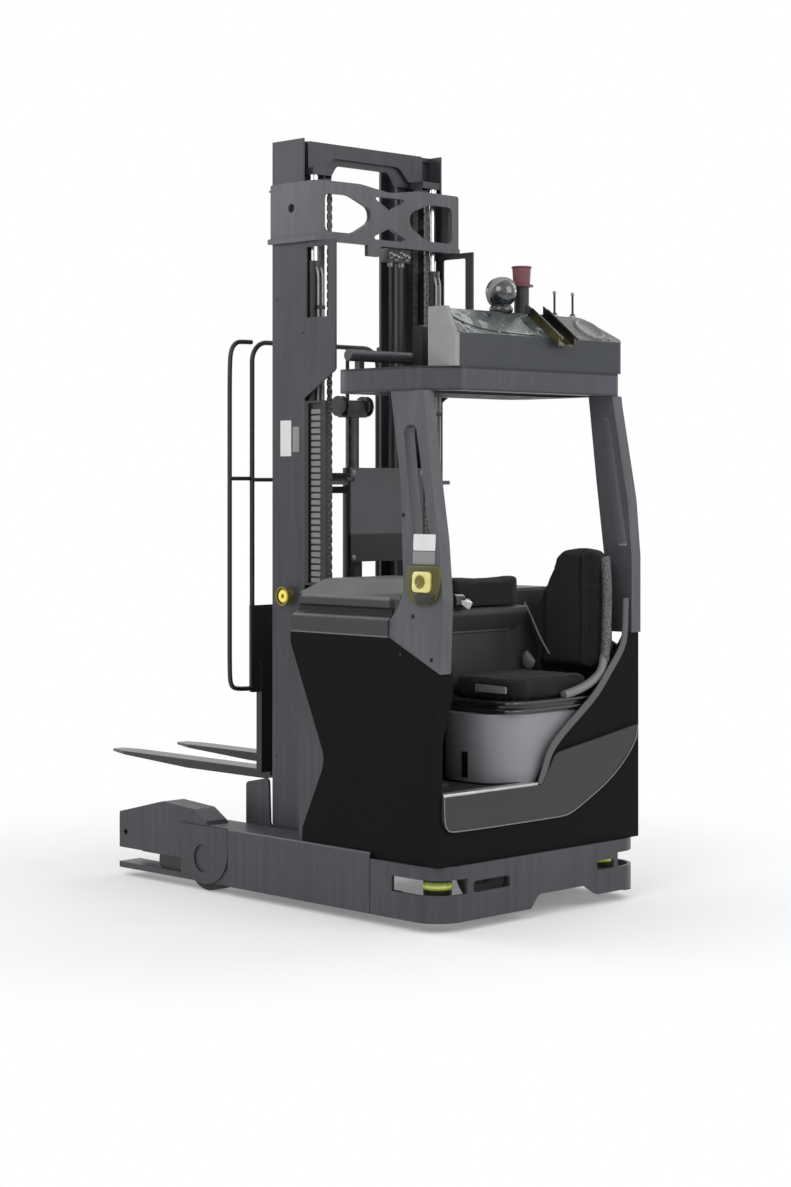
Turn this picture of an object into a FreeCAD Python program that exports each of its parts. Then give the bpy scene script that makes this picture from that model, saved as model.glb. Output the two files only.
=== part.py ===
"""Reach truck: a ride-on warehouse truck whose mast slides forward between two straddle legs.

Sizes are in millimetres. +Z is up, the forks point along -X and the driver looks along -Y.
Places along the truck are given as d, the distance forward of the rear bumper's face.
"""

import FreeCAD
import Part
import math
import os

V = FreeCAD.Vector
X_AXIS, Y_AXIS, Z_AXIS = V(1, 0, 0), V(0, 1, 0), V(0, 0, 1)

# Whole truck
LENGTH = 2620.0            # rear bumper to fork tips
WIDTH = 1270.0             # over the straddle legs
GROUND_GAP = 40.0          # under the legs
MOVE_GAP = 5.0             # between pieces that slide past each other
SEAT_GAP = 0.3             # between curved pieces that seat on each other
RUN_GAP = 0.05             # round a pin in its bore
REAR_X = LENGTH / 2
HALF = WIDTH / 2

# Bumper and base
BUMPER_LENGTH = 388.0
BUMPER_CORNER = 130.0
BUMPER_WALL = 15.0
BASE_TOP = 265.0
DECK_T = 15.0
SLOT_Z = (BASE_TOP - 115, BASE_TOP - 53)    # corner scanner's window
SCANNER_R = 58.0

# Battery, side panels and cab
BATTERY_REAR = 516.0
BATTERY_DEPTH = 346.0
BATTERY_D = (BATTERY_REAR, BATTERY_REAR + BATTERY_DEPTH)
PANEL_T = 18.0
PANEL_OUT = HALF - 15
PANEL_IN = PANEL_OUT - PANEL_T
BATTERY_HALF = PANEL_IN - 6
PANEL_TOP = 1168.0
PANEL_FRONT = BATTERY_D[1] + 26
PANEL_REAR_TOP = PANEL_TOP - 128
BATTERY_TOP = PANEL_TOP - 18
LID_TOP = PANEL_TOP + 164
LID_WALL = 12.0
SHOULDER_WIDTH = 70.0
DECK_END = PANEL_FRONT + 17
FLOOR_Z = 550.0
FLOOR_T = 20.0
WALL_T = 16.0
WALL_D = BATTERY_REAR - WALL_T - 16
REAR_SKIN_D = 14.0
REAR_SKIN_T = 20.0
REAR_SKIN_TOP = PANEL_TOP - 18
PILLAR_BEND = PANEL_TOP + 310             # above it the right pillar leans in
SILL_T = 12.0
SEAT_Z = FLOOR_Z + 288
SEAT_PAN_T = 55.0
CUSHION_T = 88.0
SEAT_BACK_TOP = SEAT_Z + 690
SEAT_BACK_Y = (HALF - 249, HALF - 165)
ENTRY = [(-30, FLOOR_Z), (48, FLOOR_Z + 125), (HALF - 295, FLOOR_Z + 350), (HALF - 95, REAR_SKIN_TOP)]
ARM_Z = PANEL_TOP + 94
ARM_T = 134.0
PEDAL_D = (130.0, 270.0)
STEER_D = 205.0
STEER_Y = 170 - HALF
STEER_Z = PANEL_TOP - 93
STEER_R = 82.0

# Straddle legs
LEG_TOP = BASE_TOP + 25
LEG_WIDTH = 185.0
LEG_INNER = HALF - LEG_WIDTH          # half the clear width between the legs
LEG_END = 2055.0
LEG_PLATE = 15.0
TRACK_DEPTH = 46.0
TRACK_WEB = 12.0
TRACK_Z = (110.0, 230.0)
TRACK_FLANGE = 15.0
TRACK_STOP = 90.0
TRACK_WEB_IN = LEG_INNER + TRACK_DEPTH
TRACK_WEB_OUT = TRACK_WEB_IN + TRACK_WEB
LOAD_D = LEG_END - 605
LEG_TIP_START = LOAD_D - 168
TIP_WALL = 12.0
COVER_T = 8.0
TIP_SKIN = HALF - COVER_T
TIP_SLOT_Z = (62.0, 128.0)
TIP_SLOT_START = LOAD_D + 162
COWL_RISE = 76.0

# Wheels and drive unit
LOAD_R = 143.0
LOAD_WIDTH = 96.0
LOAD_RUBBER = 32.0
LOAD_AXLE_R = 20.0
DRIVE_R = 170.0
DRIVE_WIDTH = 130.0
DRIVE_RUBBER = 40.0
DRIVE_D = BATTERY_REAR - 216
DRIVE_AXLE_R = 28.0
DRIVE_CHEEK = 26.0
TURN_R = 210.0
TURN_Z = BASE_TOP + 100
TURN_T = 30.0
MOTOR_R = 105.0
MOTOR_TOP = FLOOR_Z - FLOOR_T - 12

# Overhead guard
ROOF_Z = (2170.0, 2268.0)
ROOF_D = (60.0, 700.0)
ROOF_HALF = HALF - 65
ROOF_RIBS = 3
RIB_WIDTH = 44.0
PILLAR_T = 60.0
BOX_SHOULDER = ROOF_Z[1] + 135
BOX_RIDGE = ROOF_Z[1] + 245
BOX_TOP_D = ROOF_D[0] + 175
BOX_RIDGE_D = ROOF_D[0] + 145
BOX_LEFT = 100 - ROOF_HALF            # its end face
RAIL_Y = (107.0, 212.0)
DOME_Y = -16.0
DOME_R = 66.0
BEACON_Y = 112.0
BEACON_Z = BOX_RIDGE + 123
ANTENNA_Y = (322.0, 440.0)
TUBE_Z = ROOF_Z[1] + 64
TUBE_R = 25.0

# Mast channels, one inside the other
MAST_HALF = LEG_INNER - 22            # outside of the mast's side plates
MAST_PLATE = 8.0
STAGE_WIDTH = 62.0                    # of each stage's channel, across the truck
CHANNEL_REAR = DECK_END + 200
CHANNEL_DEPTH = 117.0
CHANNEL_D = (CHANNEL_REAR, CHANNEL_REAR + CHANNEL_DEPTH)
CHANNEL_MID = sum(CHANNEL_D) / 2
CHANNEL_WEB = 12.0
CHANNEL_FLANGE = 14.0
ROLLER_GAP = 0.3
ROLLER_WIDTH = 36.0
MAST_BOTTOM = 75.0
STAGE_STEP = 10.0                     # each stage starts this much above the one outside it
MAST_TOP = 3290.0
CAP_T = 20.0
PLATE_REAR = CHANNEL_REAR - 92
BRACE_Z = (MAST_TOP - 450, MAST_TOP - 195)
BRACE_REAR = PLATE_REAR - 93
BRACE_T = 22.0
WING_REAR = PLATE_REAR - 197
WING_Z = (BRACE_Z[0] - 677, BRACE_Z[0] - 560, BRACE_Z[0])
EYE_D = CHANNEL_REAR - 15
EYE_Z = BRACE_Z[0] + 150
EYE_R = 20.0
TIE_D = PLATE_REAR - 53
TIE_T = 12.0
TIE_Z = (WING_Z[0] - 375, WING_Z[0] - 357)
HEAD_Z = (MAST_TOP - 125, MAST_TOP)
BAR_T = 12.0                          # crossmembers of the two moving stages
BAR_GAP = 5.0
BAR_Z = (TIE_Z[0] - 38, TIE_Z[0] - 8)

# Mast cylinders and energy chain
LIFT_Y = MAST_HALF - 63
LIFT_D = CHANNEL_REAR - 78
LIFT_BARREL_R = 38.0
LIFT_ROD_R = 24.0
LIFT_FOOT_Z = 200.0
LIFT_BARREL_TOP = MAST_TOP - 530
FREE_BARREL_R = 44.0
FREE_ROD_R = 30.0
FREE_BARREL_TOP = 1840.0
FREE_HEAD_Z = FREE_BARREL_TOP + 250
FREE_FOOT_Z = MAST_BOTTOM + 2 * STAGE_STEP + 30
PULLEY_R = 46.0
PULLEY_Y = 75.0
TROUGH_D = (PLATE_REAR - 134, PLATE_REAR)
TROUGH_Z = (WING_Z[0] - 809, WING_Z[0] - 13)
CHAIN_PITCH = 28.0
CHAIN_LINK = 19.0

# Reach carriage and its cylinders
CHEEK_T = 12.0
REACH_BEAM = (LIFT_D - 95, LIFT_D - 40)
REACH_ROLLER_D = (LIFT_D - 27, CHANNEL_D[1] + 108)
REACH_CYL_R = 30.0
REACH_ROD_R = 16.0
REACH_CYL_Z = 170.0
REACH_CYL_Y = (-270.0, 270.0)
REACH_CYL_REAR = BUMPER_LENGTH + 2

# Fork carriage, side shifter, tilting fork board and forks
CARRIAGE_HALF = MAST_HALF - 88
CARRIAGE_Z = (500.0, 1000.0)
CARRIAGE_T = 24.0
CARRIAGE_D = (CHANNEL_D[1] + 10, CHANNEL_D[1] + 10 + CARRIAGE_T)
SHIFT_D = (CARRIAGE_D[1] + 1, CARRIAGE_D[1] + 34)
SHIFT_HALF = CARRIAGE_HALF - 78
HINGE_Y = (155.0, 245.0)
TILT_D = SHIFT_D[1] + 40
TILT_Z = CARRIAGE_Z[0] + 30
TILT_PIN_R = 15.0
BOARD_T = 35.0
BOARD_D = (TILT_D + 65, TILT_D + 65 + BOARD_T)
FORK_TOP = CARRIAGE_Z[0]
FORK_T = 40.0
FORK_TIP_T = 12.0
FORK_WIDTH = 110.0
FORK_Y = 200.0
FORK_FACE_D = BOARD_D[1] + FORK_T
SHANK_TOP = CARRIAGE_Z[1] + 12
BACKREST_HALF = MAST_HALF - 28
BACKREST_TOP = 2435.0
BACKREST_BAR_R = 11.0


def at(d, y, z):
    """A point d forward of the rear bumper."""
    return V(REAR_X - d, y, z)


def box(d, y, z):
    """A block between two values of d, y and z."""
    return Part.makeBox(abs(d[1] - d[0]), abs(y[1] - y[0]), abs(z[1] - z[0]), at(max(d), min(y), min(z)))


def outline(points, place):
    """A face through (u, v) or (u, v, corner radius), each put in space by place(u, v)."""
    corners = [(place(p[0], p[1]), p[2] if len(p) > 2 else 0.0) for p in points]
    ends = []
    for i, (here, radius) in enumerate(corners):
        a = (corners[i - 1][0] - here).normalize()
        b = (corners[(i + 1) % len(corners)][0] - here).normalize()
        if radius <= 0:
            ends.append((here, here, None))
            continue
        half = math.acos(max(-1.0, min(1.0, a.dot(b)))) / 2
        reach = radius / math.tan(half)
        middle = here + (a + b).normalize() * (radius / math.sin(half) - radius)
        ends.append((here + a * reach, here + b * reach, middle))
    edges = []
    for i, (start, end, middle) in enumerate(ends):
        if middle is not None:
            edges.append(Part.Arc(start, middle, end).toShape())
        following = ends[(i + 1) % len(ends)][0]
        if (following - end).Length > 1e-6:
            edges.append(Part.LineSegment(end, following).toShape())
    return Part.Face(Part.Wire(edges))


def side_plate(points, y):
    """A plate drawn in (d, z), as thick as the span of y."""
    return outline(points, lambda d, z: at(d, min(y), z)).extrude(Y_AXIS * abs(y[1] - y[0]))


def rear_plate(points, d):
    """A plate drawn in (y, z), as thick as the span of d."""
    return outline(points, lambda y, z: at(max(d), y, z)).extrude(X_AXIS * abs(d[1] - d[0]))


def flat_plate(points, z):
    """A plate drawn in (d, y), as thick as the span of z."""
    return outline(points, lambda d, y: at(d, y, min(z))).extrude(Z_AXIS * abs(z[1] - z[0]))


def upright(d, y, z, r):
    """An upright cylinder."""
    return Part.makeCylinder(r, abs(z[1] - z[0]), at(d, y, min(z)), Z_AXIS)


def crosswise(d, y, z, r):
    """A cylinder along Y."""
    return Part.makeCylinder(r, abs(y[1] - y[0]), at(d, min(y), z), Y_AXIS)


def lengthwise(d, y, z, r):
    """A cylinder along X."""
    return Part.makeCylinder(r, abs(d[1] - d[0]), at(max(d), y, z), X_AXIS)


def join(*shapes):
    """One piece from shapes that touch."""
    if len(shapes) == 1:
        return shapes[0]
    return shapes[0].multiFuse(list(shapes[1:])).removeSplitter()


def cut(shape, *tools):
    """The shape less the tools."""
    return shape.cut(Part.makeCompound(list(tools)))


def mirrored(shape):
    """The same piece on the truck's other side."""
    return shape.mirror(V(0, 0, 0), Y_AXIS)


def both(shape):
    """A piece and its mirror image, side by side in one node."""
    return Part.makeCompound([shape, mirrored(shape)])


def rounded(shape, radius, wanted):
    """The shape with a fillet on each edge for which wanted(edge) is true."""
    edges = [e for e in shape.Edges if wanted(e)]
    return shape.makeFillet(radius, edges) if edges else shape


def bent_bar(points, r):
    """A round bar through points, each inner one given with its bend radius."""
    edges = []
    start = points[0]
    for i in range(1, len(points) - 1):
        here, bend = points[i]
        before = points[i - 1][0] if i > 1 else points[0]
        after = points[i + 1][0] if i < len(points) - 2 else points[-1]
        a = (before - here).normalize()
        b = (after - here).normalize()
        half = math.acos(a.dot(b)) / 2
        reach = bend / math.tan(half)
        middle = here + (a + b).normalize() * (bend / math.sin(half) - bend)
        edges.append(Part.LineSegment(start, here + a * reach).toShape())
        edges.append(Part.Arc(here + a * reach, middle, here + b * reach).toShape())
        start = here + b * reach
    edges.append(Part.LineSegment(start, points[-1]).toShape())
    ring = Part.Wire([Part.makeCircle(r, points[0], points[1][0] - points[0])])
    return Part.Wire(edges).makePipeShell([ring], True, False)


NODES = {}


def node(name, shape):
    """Keeps a finished piece under its name."""
    NODES[name] = shape


def node_pair(name, shape):
    """Keeps a left piece and its mirror image as two nodes."""
    NODES[name + "_left"] = shape
    NODES[name + "_right"] = mirrored(shape)


# Base: a tray with a rounded bumper rim, corner windows for the scanners, and a deck between the legs.
def bumper_outline(inset):
    side = HALF - inset
    corner = max(BUMPER_CORNER - inset, 1.0)
    return [(inset, -side, corner), (inset, side, corner), (BUMPER_LENGTH, side), (BUMPER_LENGTH, -side)]


def bumper_foot():
    """The rim's bottom edge rises in a shallow arch behind and is higher at the far corner."""
    low, high = GROUND_GAP, GROUND_GAP + 55
    return rear_plate([(-120, -1), (-40, high, 40), (250, high, 40), (330, low + 8, 40),
                       (HALF + 1, low + 8),
                       (HALF + 1, -1)], (-1, BUMPER_WALL + 1))


def chassis_base():
    rim = flat_plate(bumper_outline(0), (GROUND_GAP, BASE_TOP))
    hollow = flat_plate(bumper_outline(BUMPER_WALL), (0, BASE_TOP - DECK_T))
    window = box((-1, 262), (-HALF - 1, -HALF + 170), SLOT_Z).cut(flat_plate(bumper_outline(60), SLOT_Z))
    pockets = [rear_plate([(y0, z0, 14), (y0, z1, 14), (y1, z1, 14), (y1, z0, 14)], (-1, BUMPER_WALL + 1))
               for y0, y1, z0, z1 in ((-430, -215, 150, 196), (330, 440, 150, 190))]
    rim = cut(rim, hollow, window, mirrored(window), bumper_foot(), *pockets)
    deck = box((BUMPER_LENGTH - DECK_T, DECK_END), (-LEG_INNER, LEG_INNER), (BASE_TOP - DECK_T, BASE_TOP))
    bulkhead = box((DECK_END - DECK_T, DECK_END), (-LEG_INNER, LEG_INNER), (TRACK_Z[0] - 30, BASE_TOP))
    ring = upright(DRIVE_D, 0, (BASE_TOP - DECK_T, TURN_Z), TURN_R)
    well = upright(DRIVE_D, 0, (0, TURN_Z + 1), TURN_R - 18)
    barrels = [lengthwise((DECK_END - DECK_T - 1, DECK_END + 1), y, REACH_CYL_Z,
                          REACH_CYL_R) for y in REACH_CYL_Y]
    return cut(join(rim, deck, bulkhead, ring), well, *barrels)


node("chassis_base", chassis_base())
barrel = lengthwise((REACH_CYL_REAR, DECK_END + 12), REACH_CYL_Y[0], REACH_CYL_Z, REACH_CYL_R)
bore = lengthwise((REACH_CYL_REAR + 20, DECK_END + 13), REACH_CYL_Y[0], REACH_CYL_Z, REACH_ROD_R + SEAT_GAP)
node("reach_cylinders", both(cut(barrel, bore)))


# Straddle legs: outer plate, top plate and an inner track for the reach carriage's rollers.
def leg():
    track = [(-TRACK_WEB_OUT, LEG_TOP), (-LEG_INNER, LEG_TOP), (-LEG_INNER, TRACK_Z[1]),
             (-TRACK_WEB_IN, TRACK_Z[1]),
             (-TRACK_WEB_IN, TRACK_Z[0]), (-LEG_INNER, TRACK_Z[0]), (-LEG_INNER, TRACK_Z[0] - TRACK_FLANGE),
             (-TRACK_WEB_OUT, TRACK_Z[0] - TRACK_FLANGE)]
    skin = [(-HALF, GROUND_GAP), (-HALF, LEG_TOP, 10), (-TRACK_WEB_OUT + 1, LEG_TOP),
            (-TRACK_WEB_OUT + 1, LEG_TOP - LEG_PLATE), (-HALF + LEG_PLATE, LEG_TOP - LEG_PLATE),
            (-HALF + LEG_PLATE, GROUND_GAP)]
    rail = rear_plate(track, (BUMPER_LENGTH, LEG_END - LEG_PLATE))
    stop = box((LEG_END - LEG_PLATE - TRACK_STOP, LEG_END - LEG_PLATE), (-TRACK_WEB_IN, -LEG_INNER),
               TRACK_Z)
    return join(rear_plate(skin, (BUMPER_LENGTH, LEG_TIP_START)), rail, stop)


node("legs", both(leg()))


# Leg tips: a cast cover over the load wheel with a scanner slot round the nose and a cowl on top.
def leg_tip():
    out, inner = -TIP_SKIN, -TRACK_WEB_OUT
    peak = LEG_TOP + COWL_RISE
    body = [(LEG_TIP_START, GROUND_GAP), (LEG_TIP_START, LEG_TOP), (LOAD_D - 25, LEG_TOP),
            (LOAD_D - 10, LEG_TOP + 16),
            (LOAD_D + 70, peak - 14, 30), (LEG_END - 315, peak, 60), (LEG_END, LEG_TOP, 8),
            (LEG_END, GROUND_GAP - 5, 6)]
    well_end = TIP_SLOT_START - TIP_WALL
    well = side_plate([(LEG_TIP_START + TIP_WALL, -1), (LEG_TIP_START + TIP_WALL, LEG_TOP - 2),
                       (well_end, LEG_TOP - 2),
                       (well_end, -1)], (out + TIP_WALL, inner + 1))
    slot = box((TIP_SLOT_START, LEG_END + 1), (-HALF - 1, inner + 1), TIP_SLOT_Z)
    nose = box((TIP_SLOT_START, LEG_END - TIP_WALL), (out + TIP_WALL, inner + 1),
               (TIP_SLOT_Z[1] + TIP_WALL, LEG_TOP - 8))
    eye = crosswise(LEG_END - 45, (out - 1, inner + 1), 200, 13)
    axle = crosswise(LOAD_D, (out, inner), LOAD_R, LOAD_AXLE_R)
    return join(cut(side_plate(body, (out, inner)), well, slot, nose, eye), axle)


node("leg_tips", both(leg_tip()))
cover = side_plate([(LEG_TIP_START, 33, 155), (LEG_TIP_START, LEG_TOP - 4, 8),
                    (LOAD_D + 166, LEG_TOP - 4, 8),
                    (LOAD_D + 166, 33, 155)], (-HALF, -TIP_SKIN))
node("wheel_covers", both(cut(cover, crosswise(LOAD_D, (-HALF - 1, -TIP_SKIN + 1), LOAD_R, 62))))
scanner_d = (TIP_SLOT_START + 13, LEG_END - 265)
scanner = side_plate([(scanner_d[0], TIP_SLOT_Z[0]), (scanner_d[0], TIP_SLOT_Z[1]),
                      (scanner_d[1], TIP_SLOT_Z[1], 22),
                      (scanner_d[1], TIP_SLOT_Z[0], 22)], (-TIP_SKIN + 21, -TRACK_WEB_OUT - 22))
corner_scanner = upright(BUMPER_CORNER, -HALF + BUMPER_CORNER, (SLOT_Z[0] - 20, BASE_TOP - DECK_T),
                         SCANNER_R)
corner_scanner = rounded(corner_scanner, 8, lambda e: e.CenterOfMass.z < SLOT_Z[0] - 10 and e.Closed)
node("scanners", Part.makeCompound([scanner, mirrored(scanner), corner_scanner, mirrored(corner_scanner)]))


# Load wheels: a polyurethane tyre on a dished hub that turns on a fixed axle.
def load_wheel():
    middle = (TIP_SKIN - TIP_WALL + TRACK_WEB_OUT) / 2
    y = (-middle - LOAD_WIDTH / 2, -middle + LOAD_WIDTH / 2)
    rim_r = LOAD_R - LOAD_RUBBER
    tread = rounded(crosswise(LOAD_D, y, LOAD_R, LOAD_R), 7, lambda e: e.Closed)
    dish = cut(crosswise(LOAD_D, (y[0], y[0] + 22), LOAD_R, rim_r - 12),
               crosswise(LOAD_D, (y[0], y[0] + 22), LOAD_R, LOAD_AXLE_R + 22))
    rim = cut(crosswise(LOAD_D, y, LOAD_R, rim_r), crosswise(LOAD_D, y, LOAD_R, LOAD_AXLE_R + RUN_GAP),
              dish)
    return cut(tread, crosswise(LOAD_D, y, LOAD_R, rim_r)), rim


load_tyre, load_hub = load_wheel()
node_pair("load_tyre", load_tyre)
node_pair("load_hub", load_hub)


# Drive unit: a turntable on the base's ring carries the motor and the fork of the driven wheel.
def drive_unit():
    inner = DRIVE_WIDTH / 2 + 8
    plate = upright(DRIVE_D, 0, (TURN_Z + SEAT_GAP, TURN_Z + TURN_T), TURN_R)
    motor = upright(DRIVE_D, 0, (TURN_Z + TURN_T, MOTOR_TOP), MOTOR_R)
    cheek = side_plate([(DRIVE_D - 85, TURN_Z + 5), (DRIVE_D + 85, TURN_Z + 5), (DRIVE_D + 50, 110, 45),
                        (DRIVE_D - 50, 110, 45)], (inner, inner + DRIVE_CHEEK))
    cheek = cut(cheek,
                crosswise(DRIVE_D, (inner - 1, inner + DRIVE_CHEEK + 1), DRIVE_R, DRIVE_AXLE_R + RUN_GAP))
    return join(plate, motor, cheek, mirrored(cheek))


def drive_wheel():
    half = DRIVE_WIDTH / 2
    rim_r = DRIVE_R - DRIVE_RUBBER
    tread = rounded(crosswise(DRIVE_D, (-half, half), DRIVE_R, DRIVE_R), 10, lambda e: e.Closed)
    axle_half = half + 8 + DRIVE_CHEEK
    hub = join(crosswise(DRIVE_D, (-half, half), DRIVE_R, rim_r),
               crosswise(DRIVE_D, (-axle_half, axle_half), DRIVE_R, DRIVE_AXLE_R))
    return cut(tread, crosswise(DRIVE_D, (-half, half), DRIVE_R, rim_r)), hub


node("drive_unit", drive_unit())
drive_tyre, drive_hub = drive_wheel()
node("drive_tyre", drive_tyre)
node("drive_hub", drive_hub)

# Battery: one plain block on the legs, seen through the notch in the side panels.
node("battery", box(BATTERY_D, (-BATTERY_HALF, BATTERY_HALF), (LEG_TOP, BATTERY_TOP)))


# Side panels: flat covers with a notched front edge; behind, their top falls to the rear corner.
def side_panel():
    rear = REAR_SKIN_D + REAR_SKIN_T
    face = [(PANEL_FRONT - 73, LEG_TOP), (PANEL_FRONT - 73, LEG_TOP + 55, 20),
            (PANEL_FRONT - 216, 640, 120),
            (PANEL_FRONT, PANEL_TOP - 48, 60), (PANEL_FRONT, PANEL_TOP, 6),
            (300, PANEL_TOP), (rear, PANEL_REAR_TOP + 8), (rear, BASE_TOP), (BUMPER_LENGTH, BASE_TOP),
            (BUMPER_LENGTH, LEG_TOP)]
    return side_plate(face, (-PANEL_OUT, -PANEL_IN))


node("side_panels", both(side_panel()))


# Battery lid: a stepped cover with a hand slot along each side and arms that reach back to the pillars.
def battery_lid():
    half = PANEL_OUT
    floor = PANEL_TOP
    section = [(-half, floor), (-half, floor + 70, 14), (-half + 26, floor + 88, 8),
               (-half + 26, floor + 112, 4),
               (-half + 10, floor + 122, 8), (-half + 10, LID_TOP, 12), (half - 10, LID_TOP, 12),
               (half - 10, floor + 122, 8), (half - 26, floor + 112, 4), (half - 26, floor + 88, 8),
               (half, floor + 70, 14), (half, floor)]
    whole = rear_plate(section, (300, PANEL_FRONT))
    nose = side_plate([(PANEL_FRONT + 1, floor + 60), (PANEL_FRONT + 1, LID_TOP + 1),
                       (PANEL_FRONT - 60, LID_TOP + 1)],
                      (-half - 1, half + 1))
    inside = box((299, PANEL_FRONT - LID_WALL - 60), (-half + 40, half - 40),
                 (floor - 1, LID_TOP - LID_WALL))
    cab_gap = box((299, WALL_D + WALL_T + SEAT_GAP), (-half + SHOULDER_WIDTH, half - SHOULDER_WIDTH),
                  (0, LID_TOP + 1))
    return cut(whole, nose, inside, cab_gap)


node("battery_lid", battery_lid())


# Cab: a rear skin with the entry cut out of it, the sculpted sill below, floor, wall, pedestal and seat.
def rear_panel():
    top = REAR_SKIN_TOP
    face = [(-PANEL_OUT, BASE_TOP), (PANEL_OUT, BASE_TOP), (PANEL_OUT, top), ENTRY[3],
            (ENTRY[2][0], ENTRY[2][1], 200), (ENTRY[1][0], ENTRY[1][1], 120),
            (ENTRY[0][0], ENTRY[0][1], 30),
            (37 - HALF, FLOOR_Z, 20), (43 - HALF, FLOOR_Z + 222, 200),
            (99 - HALF, PANEL_REAR_TOP - 100, 60),
            (99 - HALF, PANEL_REAR_TOP), (-PANEL_OUT, PANEL_REAR_TOP)]
    return rear_plate(face, (REAR_SKIN_D, REAR_SKIN_D + REAR_SKIN_T))


def sill_panel():
    face = [(35 - HALF, FLOOR_Z - 5), (35 - HALF, FLOOR_Z - 150, 70), (150, FLOOR_Z - 150, 120),
            (HALF - 215, FLOOR_Z - 15, 300),
            (HALF - 33, FLOOR_Z + 140, 10), (HALF - 33, FLOOR_Z + 202, 10),
            (ENTRY[1][0] + 22, ENTRY[1][1] - 6, 60), (ENTRY[0][0] + 14, FLOOR_Z - 5)]
    return rear_plate(face, (REAR_SKIN_D - SILL_T, REAR_SKIN_D))


node("rear_panel", rear_panel())
node("sill_panel", sill_panel())
FLOOR_REAR = REAR_SKIN_D + REAR_SKIN_T


# Cab tub: floor, upright wall behind the battery, a shelf for the arm pad and two foot pedals.
def cab_tub():
    floor = box((FLOOR_REAR, WALL_D), (-PANEL_IN, PANEL_IN), (FLOOR_Z - FLOOR_T, FLOOR_Z))
    wall = box((WALL_D, WALL_D + WALL_T), (-PANEL_IN, PANEL_IN), (FLOOR_Z - FLOOR_T, LID_TOP - LID_WALL))
    notch = box((WALL_D - 1, WALL_D + WALL_T + 1), (-PANEL_IN - 1, -PANEL_OUT + SHOULDER_WIDTH + SEAT_GAP),
                (PANEL_TOP, LID_TOP))
    shelf = side_plate([(WALL_D, ARM_Z - 112), (WALL_D, ARM_Z), (WALL_D - 84, ARM_Z, 20),
                        (WALL_D - 84, ARM_Z - 30, 20)], (-190, SEAT_BACK_Y[0] - 56))
    pedals = [side_plate([(d, FLOOR_Z), (d + 105, FLOOR_Z), (d + 105, FLOOR_Z + 55, 12),
                          (d, FLOOR_Z + 26, 8)],
                         (-PANEL_IN + 12, -PANEL_IN + 162)) for d in PEDAL_D]
    return join(floor, cut(wall, notch, mirrored(notch)), shelf, *pedals)


node("cab_tub", cab_tub())
arm = flat_plate([(WALL_D - 92, -150, 30), (WALL_D - 92, SEAT_BACK_Y[0] - 86, 60),
                  (WALL_D - SEAT_GAP, SEAT_BACK_Y[0] - 86, 20),
                  (WALL_D - SEAT_GAP, -150, 10)],
                 (ARM_Z + SEAT_GAP, ARM_Z + ARM_T))
node("arm_pad", rounded(arm, 22, lambda e: abs(e.CenterOfMass.z - ARM_Z - ARM_T) < 0.1))
SEAT_FRONT_D = WALL_D - 24
PEDESTAL = [(44, -235, 215), (SEAT_FRONT_D, -235, 190), (SEAT_FRONT_D, SEAT_BACK_Y[1] - 50, 20),
            (44, SEAT_BACK_Y[1] - 50, 150)]
node("pedestal", flat_plate(PEDESTAL, (FLOOR_Z, SEAT_Z)))
pan = flat_plate([(38, -175, 150), (SEAT_FRONT_D + 8, -175, 170),
                  (SEAT_FRONT_D + 8, SEAT_BACK_Y[1] + 30, 60),
                  (38, SEAT_BACK_Y[1] + 30, 60)], (SEAT_Z, SEAT_Z + SEAT_PAN_T))
pan = rounded(pan, 12, lambda e: abs(e.CenterOfMass.z - SEAT_Z) > 1 and e.BoundBox.ZLength < 1)
shell = side_plate([(56, SEAT_Z + SEAT_PAN_T - 10, 30), (SEAT_FRONT_D - 30, SEAT_Z + SEAT_PAN_T - 10, 60),
                    (SEAT_FRONT_D + 6, SEAT_Z + 312, 90), (SEAT_FRONT_D - 190, SEAT_BACK_TOP - 35, 110),
                    (60, SEAT_BACK_TOP - 35, 60)], (SEAT_BACK_Y[1] + SEAT_GAP, SEAT_BACK_Y[1] + 30))
shell = rounded(shell, 8, lambda e: abs(e.CenterOfMass.y - SEAT_BACK_Y[1] - 30) < 0.1)
node("seat_frame", join(pan, shell))
cushion_z = SEAT_Z + SEAT_PAN_T + SEAT_GAP
cushion = flat_plate([(48, -150, 120), (SEAT_FRONT_D - 2, -150, 120),
                      (SEAT_FRONT_D - 2, SEAT_BACK_Y[0] - 14, 50),
                      (48, SEAT_BACK_Y[0] - 14, 50)], (cushion_z, cushion_z + CUSHION_T))
node("seat_cushion", rounded(cushion, 26, lambda e: abs(e.CenterOfMass.z - cushion_z - CUSHION_T) < 0.1))
BACK_Z = cushion_z + CUSHION_T + 4
back = side_plate([(52, BACK_Z, 60), (SEAT_FRONT_D - 72, BACK_Z, 70), (SEAT_FRONT_D + 20, SEAT_Z + 357, 56),
                   (SEAT_FRONT_D - 184, SEAT_BACK_TOP, 100), (40, SEAT_BACK_TOP, 60)],
                  SEAT_BACK_Y)
node("seat_back", rounded(back, 24, lambda e: abs(e.CenterOfMass.y - SEAT_BACK_Y[0]) < 0.1))

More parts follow.
